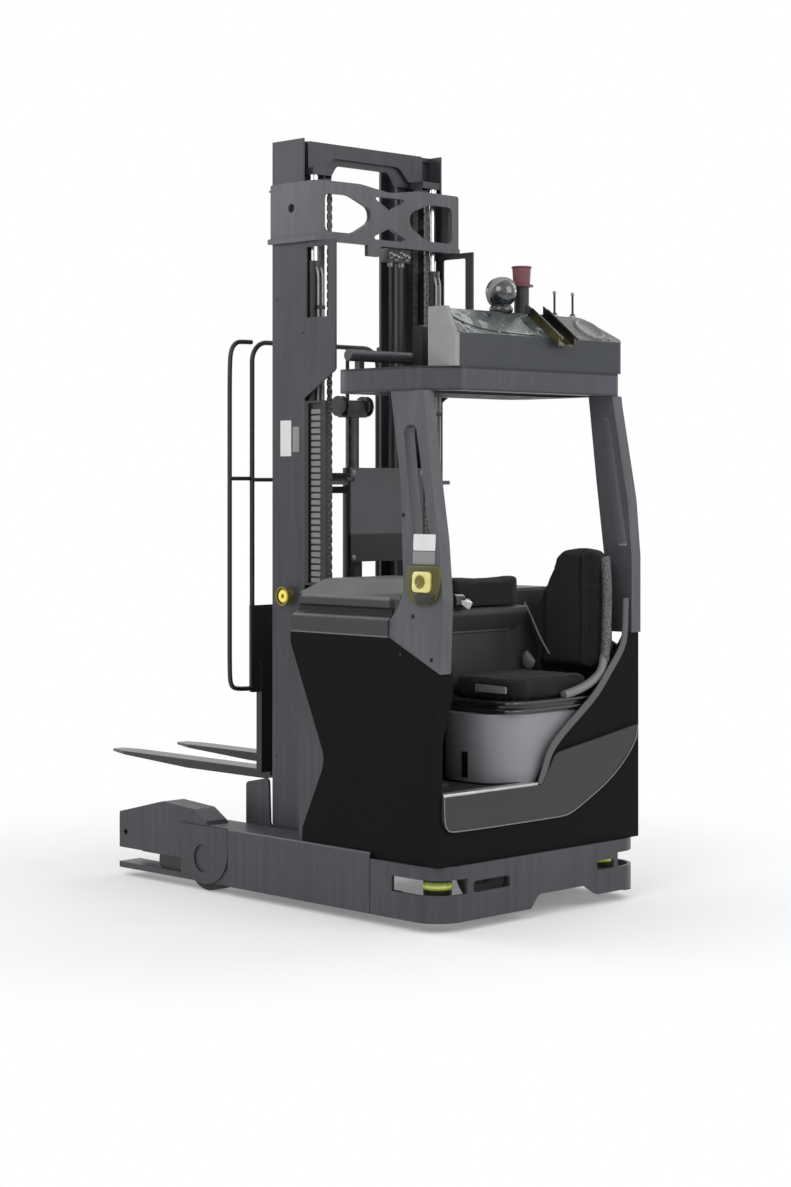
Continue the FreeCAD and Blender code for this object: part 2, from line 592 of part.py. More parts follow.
# Steering: a small pod on the left panel with a wheel that turns on an upright spindle.
pod = side_plate([(STEER_D - 60, STEER_Z - 130, 30), (STEER_D + 60, STEER_Z - 130, 30),
                  (STEER_D + 60, STEER_Z - 40, 30),
                  (STEER_D - 60, STEER_Z - 40, 30)], (-PANEL_IN, STEER_Y + 50))
node("steer_pod", pod)
spindle = upright(STEER_D, STEER_Y, (STEER_Z - 40 + SEAT_GAP, STEER_Z), 20)
disc = upright(STEER_D, STEER_Y, (STEER_Z - 10, STEER_Z + 12), STEER_R)
gaps = [upright(STEER_D + 48 * math.cos(math.radians(a)), STEER_Y + 48 * math.sin(math.radians(a)),
                (STEER_Z - 11, STEER_Z + 13), 22) for a in (60, 180, 300)]
knob = upright(STEER_D - STEER_R + 20, STEER_Y, (STEER_Z, STEER_Z + 52), 15)
node("steering_wheel", join(cut(rounded(disc, 8, lambda e: e.Closed), *gaps), spindle, knob))


# Overhead guard: slotted pillars that lean in towards a ribbed roof.
def leaning(foot_z, foot_y, head_y, thick):
    """A slab that leans from foot_y to head_y, to be shared with a pillar's side view."""
    return rear_plate([(foot_y, foot_z), (foot_y + thick, foot_z), (head_y + thick, ROOF_Z[0]),
                       (head_y, ROOF_Z[0])],
                      (-60, 500))


def pillar_left():
    side = [(300, PANEL_TOP), (300, PANEL_TOP + 67, 20), (222, LID_TOP - 2, 160), (262, ROOF_Z[0] - 370),
            (338, ROOF_Z[0]),
            (150, ROOF_Z[0]), (92, ROOF_Z[0] - 324, 300), (34, ROOF_Z[0] - 602, 300), (2, LID_TOP - 2, 60),
            (2, PANEL_REAR_TOP - 5), (REAR_SKIN_D, PANEL_REAR_TOP)]
    slot = [(258, ROOF_Z[0] - 140, 30), (186, ROOF_Z[0] - 140, 30), (76, ROOF_Z[0] - 625, 20),
            (176, ROOF_Z[0] - 625, 20)]
    y = (-700, -300)
    slab = leaning(PANEL_REAR_TOP - 5, -PANEL_OUT, -ROOF_HALF + 4, PILLAR_T)
    return cut(side_plate(side, y), side_plate(slot, y)).common(slab)


def pillar_right():
    foot, bend = REAR_SKIN_TOP, PILLAR_BEND
    side = [(146, foot), (157, bend), (180, ROOF_Z[0] - 362), (200, ROOF_Z[0]), (64, ROOF_Z[0]),
            (60, ROOF_Z[0] - 50, 60), (8, ROOF_Z[0] - 448, 400), (2, bend, 200), (2, foot)]
    slot = [(132, ROOF_Z[0] - 90, 20), (92, ROOF_Z[0] - 90, 16), (24, bend + 46, 10), (74, bend + 46, 16)]
    y = (300, 700)
    head = ROOF_HALF - 4
    slab = rear_plate([(PANEL_OUT, foot), (PANEL_OUT, bend), (head, ROOF_Z[0]),
                       (head - PILLAR_T, ROOF_Z[0]),
                       (PANEL_OUT - PILLAR_T, bend), (PANEL_OUT - PILLAR_T, foot)], (-60, 500))
    return cut(side_plate(side, y), side_plate(slot, y)).common(slab)


node("pillars", Part.makeCompound([pillar_left(), pillar_right()]))


def roof_frame():
    plan = [(ROOF_D[0], 140 - ROOF_HALF, 60), (ROOF_D[0], ROOF_HALF, 50), (ROOF_D[1], ROOF_HALF, 110),
            (ROOF_D[1], -ROOF_HALF, 110),
            (190, -ROOF_HALF, 60)]
    whole = flat_plate(plan, ROOF_Z)
    front, rear = ROOF_D[1] - 70, 400
    span = (front - rear - (ROOF_RIBS - 1) * RIB_WIDTH) / ROOF_RIBS
    side = ROOF_HALF - 90
    bays = []
    for i in range(ROOF_RIBS):
        start = rear + i * (span + RIB_WIDTH)
        bays.append(flat_plate([(start, -side, span / 2.2), (start, side, span / 2.2),
                                (start + span, side, span / 2.2), (start + span, -side, span / 2.2)],
                               (ROOF_Z[0] - 1, ROOF_Z[1] + 1)))
    inner = ROOF_HALF - 80
    hollow = flat_plate([(130, 70 - inner, 30), (130, inner, 30), (rear - 40, inner, 30),
                         (rear - 40, -inner, 30),
                         (220, -inner, 30)],
                        (ROOF_Z[0] - 1, ROOF_Z[1] - 14))
    return cut(whole, hollow, *bays)


node("roof_frame", roof_frame())
TUBE_D = ROOF_D[1] - 35
posts = [box((TUBE_D - 15, TUBE_D + 15), (y - 14, y + 14), (ROOF_Z[1], TUBE_Z)) for y in (140 - ROOF_HALF,
                                                                                          ROOF_HALF - 140)]
tube = rounded(crosswise(TUBE_D, (70 - ROOF_HALF, ROOF_HALF - 70), TUBE_Z, TUBE_R), 6, lambda e: e.Closed)
node("roof_tube", join(tube, *posts))


# Roof box: an electronics housing with a sloping rear top and an end plate, and what stands on it.
def roof_box():
    rear, left, right, front = ROOF_D[0] + 4, BOX_LEFT, ROOF_HALF + 10, ROOF_D[0] + 285
    plan = [(rear, left, 6), (rear, right, 30), (front, right, 40), (front, left + 170),
            (rear + 155, left, 12)]
    block = flat_plate(plan, (ROOF_Z[1], BOX_RIDGE))
    slope = side_plate([(rear - 80, BOX_SHOULDER - 40), (rear, BOX_SHOULDER), (BOX_RIDGE_D, BOX_RIDGE),
                        (BOX_RIDGE_D, BOX_RIDGE + 100), (rear - 80, BOX_RIDGE + 100)],
                       (left + BOX_END_T, right + 1))
    steep = side_plate([(rear - 1, BOX_SHOULDER), (rear + 8, BOX_SHOULDER, 12), (rear + 58, BOX_RIDGE + 1),
                        (rear - 1, BOX_RIDGE + 1)], (left - 1, left + BOX_END_T))
    end = rear_plate([(right - 140, BOX_RIDGE + 1), (right - 105, BOX_RIDGE - 6, 60),
                      (right - 10, BOX_SHOULDER + 20),
                      (right + 1, BOX_SHOULDER + 8), (right + 1, BOX_RIDGE + 1)], (rear - 1, front + 1))
    nose = side_plate([(front + 1, BOX_SHOULDER + 20), (front + 1, BOX_RIDGE + 1),
                       (front - 55, BOX_RIDGE + 1)],
                      (left - 1, right + 1))
    return cut(block, slope, steep, end, nose)


BOX_END_T = 24.0
node("roof_box", roof_box())
ball = Part.makeSphere(DOME_R, at(BOX_TOP_D, DOME_Y, BOX_RIDGE + DOME_R + 19))
node("dome_camera", join(ball, upright(BOX_TOP_D, DOME_Y, (BOX_RIDGE, BOX_RIDGE + 40), 38)))
posts = [join(upright(BOX_TOP_D, BEACON_Y, (BOX_RIDGE, BEACON_Z - 8), 32),
              upright(BOX_TOP_D, BEACON_Y, (BEACON_Z - 8, BEACON_Z), 50))]
for y in ANTENNA_Y:
    posts.append(join(upright(BOX_TOP_D, y, (BOX_RIDGE, BOX_RIDGE + 16), 11),
                      upright(BOX_TOP_D, y, (BOX_RIDGE + 16, BOX_RIDGE + 110), 5)))
node("roof_posts", Part.makeCompound(posts))
beacon = Part.makeCone(36, 40, 78, at(BOX_TOP_D, BEACON_Y, BEACON_Z), Z_AXIS)
node("beacon", rounded(beacon, 6, lambda e: e.CenterOfMass.z > BEACON_Z + 74))


# Channel bracket: an open U rail that lies down the box's slope and hangs over its rear edge.
def slope_rail():
    rear = ROOF_D[0] + 4
    drop = (BOX_RIDGE - BOX_SHOULDER) / (BOX_RIDGE_D - rear)
    low = (rear - 44, BOX_SHOULDER - drop * 44)
    high = (BOX_RIDGE_D - 9, BOX_RIDGE - drop * 9)
    rail = side_plate([low, high, (high[0], high[1] + 44), (low[0], low[1] + 44)], RAIL_Y)
    hollow = side_plate([(low[0] - 1, low[1] + 8 - drop), (high[0] + 1, high[1] + 8 + drop),
                         (high[0] + 1, high[1] + 60),
                         (low[0] - 1, low[1] + 60)], (RAIL_Y[0] + 8, RAIL_Y[1] - 8))
    return cut(rail, hollow)


node("slope_rail", slope_rail())

# Reach carriage: side cheeks with rollers in the leg tracks and a channel beam that the reach rods push.
def reach_carriage():
    out, inner = -(MAST_HALF + CHEEK_T), -MAST_HALF
    z = sum(TRACK_Z) / 2
    r = (TRACK_Z[1] - TRACK_Z[0]) / 2 - ROLLER_GAP
    front, neck = REACH_ROLLER_D[1] + 55, CHANNEL_D[1] + 4
    cheek = side_plate([(REACH_BEAM[0], 68), (front, 68, 20), (front, 470, 20), (neck + 10, 500, 20),
                        (neck, 285, 30),
                        (REACH_BEAM[0], 245, 20)], (out, inner))
    side = [cheek]
    for d in REACH_ROLLER_D:
        side.append(crosswise(d, (-TRACK_WEB_IN + MOVE_GAP, -LEG_INNER - 3), z, r))
        side.append(crosswise(d, (-LEG_INNER - 3, out), z, 24))
    shelf = box((REACH_BEAM[1], LIFT_D + 30), (inner + MAST_PLATE, -LIFT_Y + LIFT_BARREL_R),
                (LIFT_FOOT_Z - 12, LIFT_FOOT_Z))
    side = join(*side, shelf)
    beam = box(REACH_BEAM, (-MAST_HALF, MAST_HALF), (75, LIFT_FOOT_Z))
    beam = cut(beam,
               box((REACH_BEAM[0] + 12, REACH_BEAM[1] + 1), (-MAST_HALF - 1, MAST_HALF + 1),
                   (87, LIFT_FOOT_Z - 12)))
    rod = lengthwise((REACH_CYL_REAR + 24, REACH_BEAM[0]), REACH_CYL_Y[0], REACH_CYL_Z, REACH_ROD_R)
    return join(side, mirrored(side), beam, rod, mirrored(rod))


node("reach_carriage", reach_carriage())


# Mast stages: C channels one inside the other, open towards the middle, each on rollers in its neighbour.
def stage_out(stage):
    return MAST_HALF - MAST_PLATE - stage * (STAGE_WIDTH + MOVE_GAP)


def channel(stage, top):
    out = stage_out(stage)
    z = (MAST_BOTTOM + stage * STAGE_STEP, top)
    whole = box(CHANNEL_D, (-out, -out + STAGE_WIDTH), z)
    gap = box((CHANNEL_D[0] + CHANNEL_FLANGE, CHANNEL_D[1] - CHANNEL_FLANGE), (-out + CHANNEL_WEB, 0),
              (z[0] - 1, z[1] + 1))
    return cut(whole, gap)


def rollers(face, heights):
    """Rollers on pins that stand out from a plate's outer face at -face."""
    r = (CHANNEL_D[1] - CHANNEL_D[0]) / 2 - CHANNEL_FLANGE - ROLLER_GAP
    made = []
    for z in heights:
        made.append(crosswise(CHANNEL_MID, (-face - MOVE_GAP - 8, -face), z, 18))
        made.append(crosswise(CHANNEL_MID, (-face - MOVE_GAP - 8 - ROLLER_WIDTH, -face - MOVE_GAP - 8), z,
                              r))
    return made


outer_flange = box((CHANNEL_D[0], CHANNEL_D[0] + CHANNEL_FLANGE),
                   (-stage_out(0) + CHANNEL_WEB, -stage_out(0) + STAGE_WIDTH),
                   (MAST_BOTTOM, MAST_TOP - CAP_T))
front_flange = outer_flange.copy()
front_flange.translate(X_AXIS * (CHANNEL_FLANGE - CHANNEL_DEPTH))
node("mast_outer",
     Part.makeCompound([outer_flange, mirrored(outer_flange), front_flange, mirrored(front_flange)]))
node("mast_middle", both(join(channel(1, MAST_TOP - CAP_T), *rollers(stage_out(1), (150, 520)))))
node("mast_inner", both(join(channel(2, MAST_TOP - CAP_T), *rollers(stage_out(2), (160, 530)))))


# Side plates with the webs of the outer channels. Each has a windowed wing behind and a cap on top.
def mast_plate():
    face = [(CHANNEL_D[1], MAST_BOTTOM), (CHANNEL_D[1], MAST_TOP), (PLATE_REAR + 7, MAST_TOP),
            (PLATE_REAR + 7, WING_Z[2]), (PLATE_REAR, WING_Z[2]), (PLATE_REAR, MAST_BOTTOM)]
    eye = crosswise(EYE_D, (PLATE_Y[0] - 1, PLATE_Y[1] + 1), EYE_Z, EYE_R + 8)
    web = box(CHANNEL_D, (PLATE_Y[1], PLATE_Y[1] + CHANNEL_WEB), (MAST_BOTTOM, MAST_TOP - CAP_T))
    return join(cut(side_plate(face, PLATE_Y), eye), web)


def mast_wing():
    face = [(PLATE_REAR, WING_Z[0]), (PLATE_REAR, WING_Z[2]), (WING_REAR, WING_Z[2]),
            (WING_REAR, WING_Z[1], 20)]
    window = [(PLATE_REAR - 10, WING_Z[2] - 330, 8), (PLATE_REAR - 10, WING_Z[2] - 25, 8),
              (WING_REAR + 46, WING_Z[2] - 25, 8), (WING_REAR + 46, WING_Z[2] - 330, 8)]
    return cut(side_plate(face, PLATE_Y), side_plate(window, PLATE_Y))


PLATE_Y = (-MAST_HALF, -MAST_HALF + MAST_PLATE)
node("mast_plates", both(mast_plate()))
node("mast_wings", both(mast_wing()))
node("mast_caps", both(box((CHANNEL_D[0] - 15, CHANNEL_D[1]), (PLATE_Y[1], PLATE_Y[1] + STAGE_WIDTH),
                           (MAST_TOP - CAP_T, MAST_TOP))))


# Brace: an X-shaped crossmember behind the mast's head, with side cheeks that hold the lifting eyes.
def mast_brace():
    low, high = BRACE_Z
    mid = (low + high) / 2
    out = MAST_HALF + MAST_PLATE
    side = MAST_HALF - 36
    bay = rear_plate([(-side, low + 42, 25), (-side, high - 50, 25), (-250, high - 46, 130),
                      (-58, mid + 8, 46),
                      (-230, low + 42, 130)], (BRACE_REAR - 1, BRACE_REAR + BRACE_T + 1))
    top = rear_plate([(-112, high - 38, 8), (112, high - 38, 8), (0, high - 96, 14)],
                     (BRACE_REAR - 1, BRACE_REAR + BRACE_T + 1))
    foot = rear_plate([(-124, low + 28, 8), (0, low + 84, 14), (124, low + 28, 8)],
                      (BRACE_REAR - 1, BRACE_REAR + BRACE_T + 1))
    frame = rear_plate([(-out, low), (-out, high + 6, 12), (-180, high + 8, 300), (0, high - 16, 200),
                        (180, high + 8, 300),
                        (out, high + 6, 12), (out, low)], (BRACE_REAR, BRACE_REAR + BRACE_T))
    lug = rear_plate([(-135, low - 48, 6), (-135, low), (-62, low), (-62, low - 48, 6)],
                     (BRACE_REAR, BRACE_REAR + BRACE_T))
    cheek = side_plate([(BRACE_REAR + BRACE_T, low), (BRACE_REAR + BRACE_T, high + 6),
                        (CHANNEL_D[1] + 4, high + 6, 8),
                        (CHANNEL_D[1] + 4, low)], (-out, -MAST_HALF))
    band = side_plate([(BRACE_REAR, low), (BRACE_REAR, low + 24, 8), (CHANNEL_D[1] + 14, low + 24, 8),
                       (CHANNEL_D[1] + 14, low, 8)], (-out - 8, -out))
    bosses = [lengthwise((CHANNEL_D[1] + 4, CHANNEL_D[1] + 16), -out + 4, z, 4) for z in (high - 20,
                                                                                          low + 12)]
    eye = crosswise(EYE_D, (-out - 9, -MAST_HALF + 1), EYE_Z, EYE_R)
    cheek = cut(join(cheek, band, *bosses), eye)
    return join(cut(join(frame, lug), bay, mirrored(bay), top, foot), cheek, mirrored(cheek))


node("mast_brace", mast_brace())


# Ties of the outer stage: bent straps behind the lift cylinders, one with a cover plate over the hoses.
def mast_ties():
    inner = stage_out(0) - 10
    straps, wings = [], []
    for z in ((300, 400), TIE_Z):
        straps.append(box((TIE_D, TIE_D + TIE_T), (-inner, inner), z))
        wings.append(box((TIE_D, CHANNEL_D[0]), (inner, inner + 10), z))
    cover_z = (TIE_Z[0] - 338, TIE_Z[1] + 56)
    cover = rear_plate([(-215, cover_z[0], 12), (235, cover_z[0], 12), (235, cover_z[1], 12),
                        (-215, cover_z[1], 12)], (TIE_D - 14, TIE_D))
    return Part.makeCompound([join(straps[0], wings[0], mirrored(wings[0])),
                              join(straps[1], wings[1], cover)])


node("mast_ties", mast_ties())
barrel = upright(LIFT_D, -LIFT_Y, (LIFT_FOOT_Z, LIFT_BARREL_TOP), LIFT_BARREL_R)
gland = upright(LIFT_D, -LIFT_Y, (LIFT_BARREL_TOP - 60, LIFT_BARREL_TOP), LIFT_BARREL_R + 2)
bore = upright(LIFT_D, -LIFT_Y, (LIFT_FOOT_Z + 40, LIFT_BARREL_TOP + 1), LIFT_ROD_R + SEAT_GAP)
node("lift_cylinders", both(cut(join(barrel, gland), bore)))

# Energy chain: a shallow trough beside the left plate, with the chain's links standing in it.
TROUGH_Y = (-MAST_HALF, -LIFT_Y - LIFT_BARREL_R - 7)
LINK_D = (TROUGH_D[0] + 39, TROUGH_D[0] + 97)
trough = box(TROUGH_D, TROUGH_Y, TROUGH_Z)
pocket = box((TROUGH_D[0] + 26, TROUGH_D[1] - 24), (TROUGH_Y[0] - 1, TROUGH_Y[1] - 5),
             (TROUGH_Z[0] + 10, TROUGH_Z[1] - 10))
node("chain_trough", cut(trough, pocket))
link_count = int((TROUGH_Z[1] - TROUGH_Z[0] - 24) / CHAIN_PITCH)
node("energy_chain", Part.makeCompound([
    box(LINK_D, (TROUGH_Y[1] - 5, TROUGH_Y[0] + 6), (TROUGH_Z[0] + 12 + i * CHAIN_PITCH,
                                                     TROUGH_Z[0] + 12 + i * CHAIN_PITCH + CHAIN_LINK))
    for i in range(link_count)]))


def round_lamp(d, y, z, r, depth):
    """A round lamp that faces the truck's left, with a raised rim and a domed lens."""
    body = crosswise(d, (y - depth, y), z, r)
    lip = cut(crosswise(d, (y - depth - 8, y - depth), z, r),
              crosswise(d, (y - depth - 8, y - depth), z, r - 7))
    lens = crosswise(d, (y - depth - 4, y - depth), z, r - 16)
    return join(body, lip, lens)


node("mast_lamp", round_lamp(CHANNEL_D[1] - 105, -MAST_HALF, TROUGH_Z[0] - 51, 42, 30))


# Middle stage's crossmembers: a foot, a thin strap and the arched head that the lift rods push.
def middle_bars():
    out = stage_out(1)
    rear = CHANNEL_D[0] - 2 * BAR_T - 2 * BAR_GAP
    plate_d = (rear, rear + BAR_T)
    foot_z = MAST_BOTTOM + STAGE_STEP + 10
    plates = [rear_plate([(-out, foot_z), (out, foot_z), (out, foot_z + 120), (-out, foot_z + 120)],
                         plate_d),
              box(plate_d, (-out, out), BAR_Z)]
    low, high = HEAD_Z
    arch = [(-out, low), (-out, high, 10), (out, high, 10), (out, low),
            (out - 90, low), (out - 150, low + 62, 60), (-out + 150, low + 62, 60), (-out + 90, low)]
    plates.append(rear_plate(arch, plate_d))
    blocks = []
    for z0, z1 in ((foot_z, foot_z + 120), BAR_Z, (low, high)):
        block = box((plate_d[1], CHANNEL_D[0]), (-out, -out + STAGE_WIDTH), (z0, z1))
        blocks += [block, mirrored(block)]
    lug = box((LIFT_D - 30, plate_d[0]), (-LIFT_Y - 26, -out + 70), (low - 30, low))
    hanger = box(plate_d, (-out, -out + 70), (low - 30, low))
    pieces = [join(plates[0], *blocks[0:2]), join(plates[1], *blocks[2:4]),
              join(plates[2], *blocks[4:6], lug, mirrored(lug), hanger, mirrored(hanger))]
    return Part.makeCompound(pieces)


node("middle_bars", middle_bars())
node("lift_rods", both(upright(LIFT_D, -LIFT_Y, (LIFT_FOOT_Z + 45, HEAD_Z[0] - 30), LIFT_ROD_R)))


# Inner stage's crossmembers, with the foot and the collar of the free lift cylinder.
def inner_bars():
    out = stage_out(2)
    d = (CHANNEL_D[0] - BAR_T - BAR_GAP, CHANNEL_D[0])
    foot_z = MAST_BOTTOM + 2 * STAGE_STEP + 10
    foot = join(box(d, (-out, out), (foot_z, foot_z + 120)),
                box((CHANNEL_D[0], CHANNEL_MID + FREE_BARREL_R), (-60, 60), (foot_z, foot_z + 20)))
    z = (FREE_BARREL_TOP - 26, FREE_BARREL_TOP)
    collar = cut(join(upright(CHANNEL_MID, 0, z, FREE_BARREL_R + 12),
                      box((CHANNEL_D[0], CHANNEL_MID), (-30, 30), z)),
                 upright(CHANNEL_MID, 0, z, FREE_BARREL_R))
    strap = join(box(d, (-out, out), z), collar)
    head = rear_plate([(-out, MAST_TOP - 150), (-out, MAST_TOP - 30, 10), (out, MAST_TOP - 30, 10),
                       (out, MAST_TOP - 150),
                       (out - 80, MAST_TOP - 150), (out - 120, MAST_TOP - 90, 40),
                       (-out + 120, MAST_TOP - 90, 40),
                       (-out + 80, MAST_TOP - 150)], d)
    return Part.makeCompound([foot, strap, head])


node("inner_bars", inner_bars())
barrel = upright(CHANNEL_MID, 0, (FREE_FOOT_Z, FREE_BARREL_TOP + 24), FREE_BARREL_R)
node("free_cylinder",
     cut(barrel, upright(CHANNEL_MID, 0, (FREE_FOOT_Z + 40, FREE_BARREL_TOP + 25), FREE_ROD_R + SEAT_GAP)))


# Free lift head: the rod's yoke with a grooved chain pulley on each side.
def free_head():
    rod = upright(CHANNEL_MID, 0, (FREE_FOOT_Z + 260, FREE_HEAD_Z), FREE_ROD_R)
    yoke = side_plate([(CHANNEL_MID - 34, FREE_HEAD_Z, 6), (CHANNEL_MID + 34, FREE_HEAD_Z, 6),
                       (CHANNEL_MID + 24, FREE_HEAD_Z + 78, 20),
                       (CHANNEL_MID - 24, FREE_HEAD_Z + 78, 20)], (-PULLEY_Y + 16, PULLEY_Y - 16))
    z = FREE_HEAD_Z + 50
    pulley = cut(crosswise(CHANNEL_MID, (-PULLEY_Y - 16, -PULLEY_Y + 16), z, PULLEY_R),
                 cut(crosswise(CHANNEL_MID, (-PULLEY_Y - 9, -PULLEY_Y + 9), z, PULLEY_R + 1),
                     crosswise(CHANNEL_MID, (-PULLEY_Y - 9, -PULLEY_Y + 9), z, PULLEY_R - 9)))
    return join(rod, yoke, pulley, mirrored(pulley))


node("free_head", free_head())


# Fork carriage: a plate in front of the mast on rollers in the inner channels.
def fork_carriage():
    d = CARRIAGE_D
    z0, z1 = CARRIAGE_Z
    inner = stage_out(2) - STAGE_WIDTH - MOVE_GAP
    plate = rear_plate([(-CARRIAGE_HALF, z0), (CARRIAGE_HALF, z0), (CARRIAGE_HALF, z1),
                        (-CARRIAGE_HALF, z1)], d)
    window = rear_plate([(-150, z0 + 60, 20), (-150, z1 - 60, 20), (150, z1 - 60, 20), (150, z0 + 60, 20)],
                        (d[0] - 1, d[1] + 1))
    bracket = side_plate([(d[0], z0 + 20), (d[0], z1 - 20), (CHANNEL_MID - 30, z1 - 20, 20),
                          (CHANNEL_MID - 30, z1 - 110, 20),
                          (d[0] - 25, z1 - 140, 20), (d[0] - 25, z0 + 140, 20),
                          (CHANNEL_MID - 30, z0 + 110, 20),
                          (CHANNEL_MID - 30, z0 + 20, 20)], (-inner, -inner + 14))
    wheels = rollers(inner, (z0 + 62, z1 - 62))
    anchor = box(d, (-PULLEY_Y - 14, -PULLEY_Y + 14), (z1, z1 + 40))
    side = [bracket, *wheels, anchor]
    return join(cut(plate, window), *side, *[mirrored(s) for s in side])


# Side shifter: it hooks over the carriage's top and bottom edges and carries the tilt hinge.
def shift_frame():
    z0, z1 = CARRIAGE_Z
    plate = rear_plate([(-SHIFT_HALF, z0 - 26), (SHIFT_HALF, z0 - 26), (SHIFT_HALF, z1 + 24),
                        (-SHIFT_HALF, z1 + 24)], SHIFT_D)
    window = rear_plate([(-130, z0 + 70, 20), (-130, z1 - 70, 20), (130, z1 - 70, 20), (130, z0 + 70, 20)],
                        (SHIFT_D[0] - 1, SHIFT_D[1] + 1))
    top = box((CHANNEL_D[1] + 14, SHIFT_D[0]), (-SHIFT_HALF, -PULLEY_Y - 100), (z1 + SEAT_GAP, z1 + 24))
    low = box((CHANNEL_D[1] + 14, SHIFT_D[0]), (-SHIFT_HALF, SHIFT_HALF), (z0 - 26, z0 - SEAT_GAP))
    frame = join(cut(plate, window), top, mirrored(top), low)
    side = []
    for y in HINGE_Y:
        side.append(side_plate([(SHIFT_D[1], TILT_Z - 28), (TILT_D, TILT_Z - 28, 26),
                                (TILT_D + 27, TILT_Z - 5, 20),
                                (TILT_D + 22, TILT_Z + 28, 20), (SHIFT_D[1], TILT_Z + 40)],
                               (-y - 12, -y + 12)))
    side.append(lengthwise((SHIFT_D[1], SHIFT_D[1] + 62), -HINGE_Y[0] - 45, z1 - 100, 26))
    frame = join(frame, *side, *[mirrored(s) for s in side])
    hole = crosswise(TILT_D, (-HINGE_Y[1] - 13, -HINGE_Y[0] + 13), TILT_Z, TILT_PIN_R + RUN_GAP)
    bore = lengthwise((SHIFT_D[1] + 8, SHIFT_D[1] + 63), -HINGE_Y[0] - 45, z1 - 100, 20)
    return cut(frame, hole, mirrored(hole), bore, mirrored(bore))


# Tilt frame: a fork board that turns on two pins, with the tilt rods fixed high on its back.
def tilt_frame():
    z0, z1 = CARRIAGE_Z
    board = rear_plate([(-CARRIAGE_HALF, z0), (CARRIAGE_HALF, z0), (CARRIAGE_HALF, z1),
                        (-CARRIAGE_HALF, z1)], BOARD_D)
    window = rear_plate([(-120, z0 + 100, 20), (-120, z1 - 90, 20), (120, z1 - 90, 20),
                         (120, z0 + 100, 20)],
                        (BOARD_D[0] - 1, BOARD_D[1] + 1))
    middle = sum(HINGE_Y) / 2
    pin = crosswise(TILT_D, (-HINGE_Y[1] - 16, -HINGE_Y[0] + 16), TILT_Z, TILT_PIN_R)
    lug = side_plate([(BOARD_D[0], TILT_Z - 28), (TILT_D, TILT_Z - 26, 24), (TILT_D - 25, TILT_Z, 20),
                      (TILT_D, TILT_Z + 26, 24),
                      (BOARD_D[0], TILT_Z + 60)], (-middle - 20, -middle + 20))
    rod = lengthwise((SHIFT_D[1] + 40, BOARD_D[0]), -HINGE_Y[0] - 45, z1 - 100, 11)
    side = [pin, lug, rod]
    return join(cut(board, window), *side, *[mirrored(s) for s in side])


# Forks: forged L-shaped arms that hook over the board, with a tapered blade.
def fork():
    heel_d = FORK_FACE_D - FORK_T
    z0, z1 = CARRIAGE_Z
    side = [(heel_d, FORK_TOP - FORK_T, 34), (heel_d, SHANK_TOP, 4), (FORK_FACE_D, SHANK_TOP - 30, 8),
            (FORK_FACE_D, FORK_TOP, 14), (LENGTH, FORK_TOP), (LENGTH, FORK_TOP - FORK_TIP_T, 4),
            (FORK_FACE_D + 560, FORK_TOP - FORK_T, 200)]
    y = (-FORK_Y - FORK_WIDTH / 2, -FORK_Y + FORK_WIDTH / 2)
    hook = side_plate([(heel_d, z1 + SEAT_GAP), (heel_d, SHANK_TOP, 2), (heel_d - 16, SHANK_TOP, 2),
                       (heel_d - 16, z1 + SEAT_GAP, 2)], y)
    nose = [flat_plate([(LENGTH + 1, y[0] - 1), (LENGTH - 120, y[0] - 1), (LENGTH + 1, y[0] + 26)],
                       (0, CARRIAGE_Z[1])),
            flat_plate([(LENGTH + 1, y[1] + 1), (LENGTH - 120, y[1] + 1), (LENGTH + 1, y[1] - 26)],
                       (0, CARRIAGE_Z[1]))]
    return cut(join(side_plate(side, y), hook), *nose)


# Load backrest: a lower plate on the fork board and a bent-bar grille above it.
def backrest():
    z1 = CARRIAGE_Z[1]
    d = (BOARD_D[0] + 1, BOARD_D[0] + 15)
    mid, half = sum(d) / 2, BACKREST_HALF - BACKREST_BAR_R
    inner = CARRIAGE_HALF + MOVE_GAP
    low, top = z1 - 138, z1 + 250
    plate = rear_plate([(-BACKREST_HALF, low, 10), (-inner, low), (-inner, z1), (inner, z1), (inner, low),
                        (BACKREST_HALF, low, 10), (BACKREST_HALF, top), (-BACKREST_HALF, top)], d)
    hoop = bent_bar([at(mid, -half, top), (at(mid, -half, BACKREST_TOP - BACKREST_BAR_R), 85),
                     (at(mid, half, BACKREST_TOP - BACKREST_BAR_R), 85), at(mid, half, top)],
                    BACKREST_BAR_R)
    bars = [upright(mid, y, (top, BACKREST_TOP - BACKREST_BAR_R), BACKREST_BAR_R - 2) for y in (-195, 0,
                                                                                                195)]
    cross = crosswise(mid, (-half, half), BACKREST_TOP - 625, BACKREST_BAR_R - 2)
    return join(plate, hoop, *bars, cross)


node("fork_carriage", fork_carriage())
node("shift_frame", shift_frame())
node("tilt_frame", tilt_frame())
node("forks", both(fork()))
node("backrest", backrest())


os.makedirs("parts", exist_ok=True)
for name, shape in NODES.items():
    shape.exportStep(os.path.join("parts", name + ".step"))
    print(name, len(shape.Solids), shape.isValid(), round(shape.Volume / 1e6, 2))
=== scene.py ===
"""Looks of the reach truck: what each piece is made of, its soft parts and its small fittings."""

import bpy
import bmesh
import math
from mathutils import Matrix, Vector


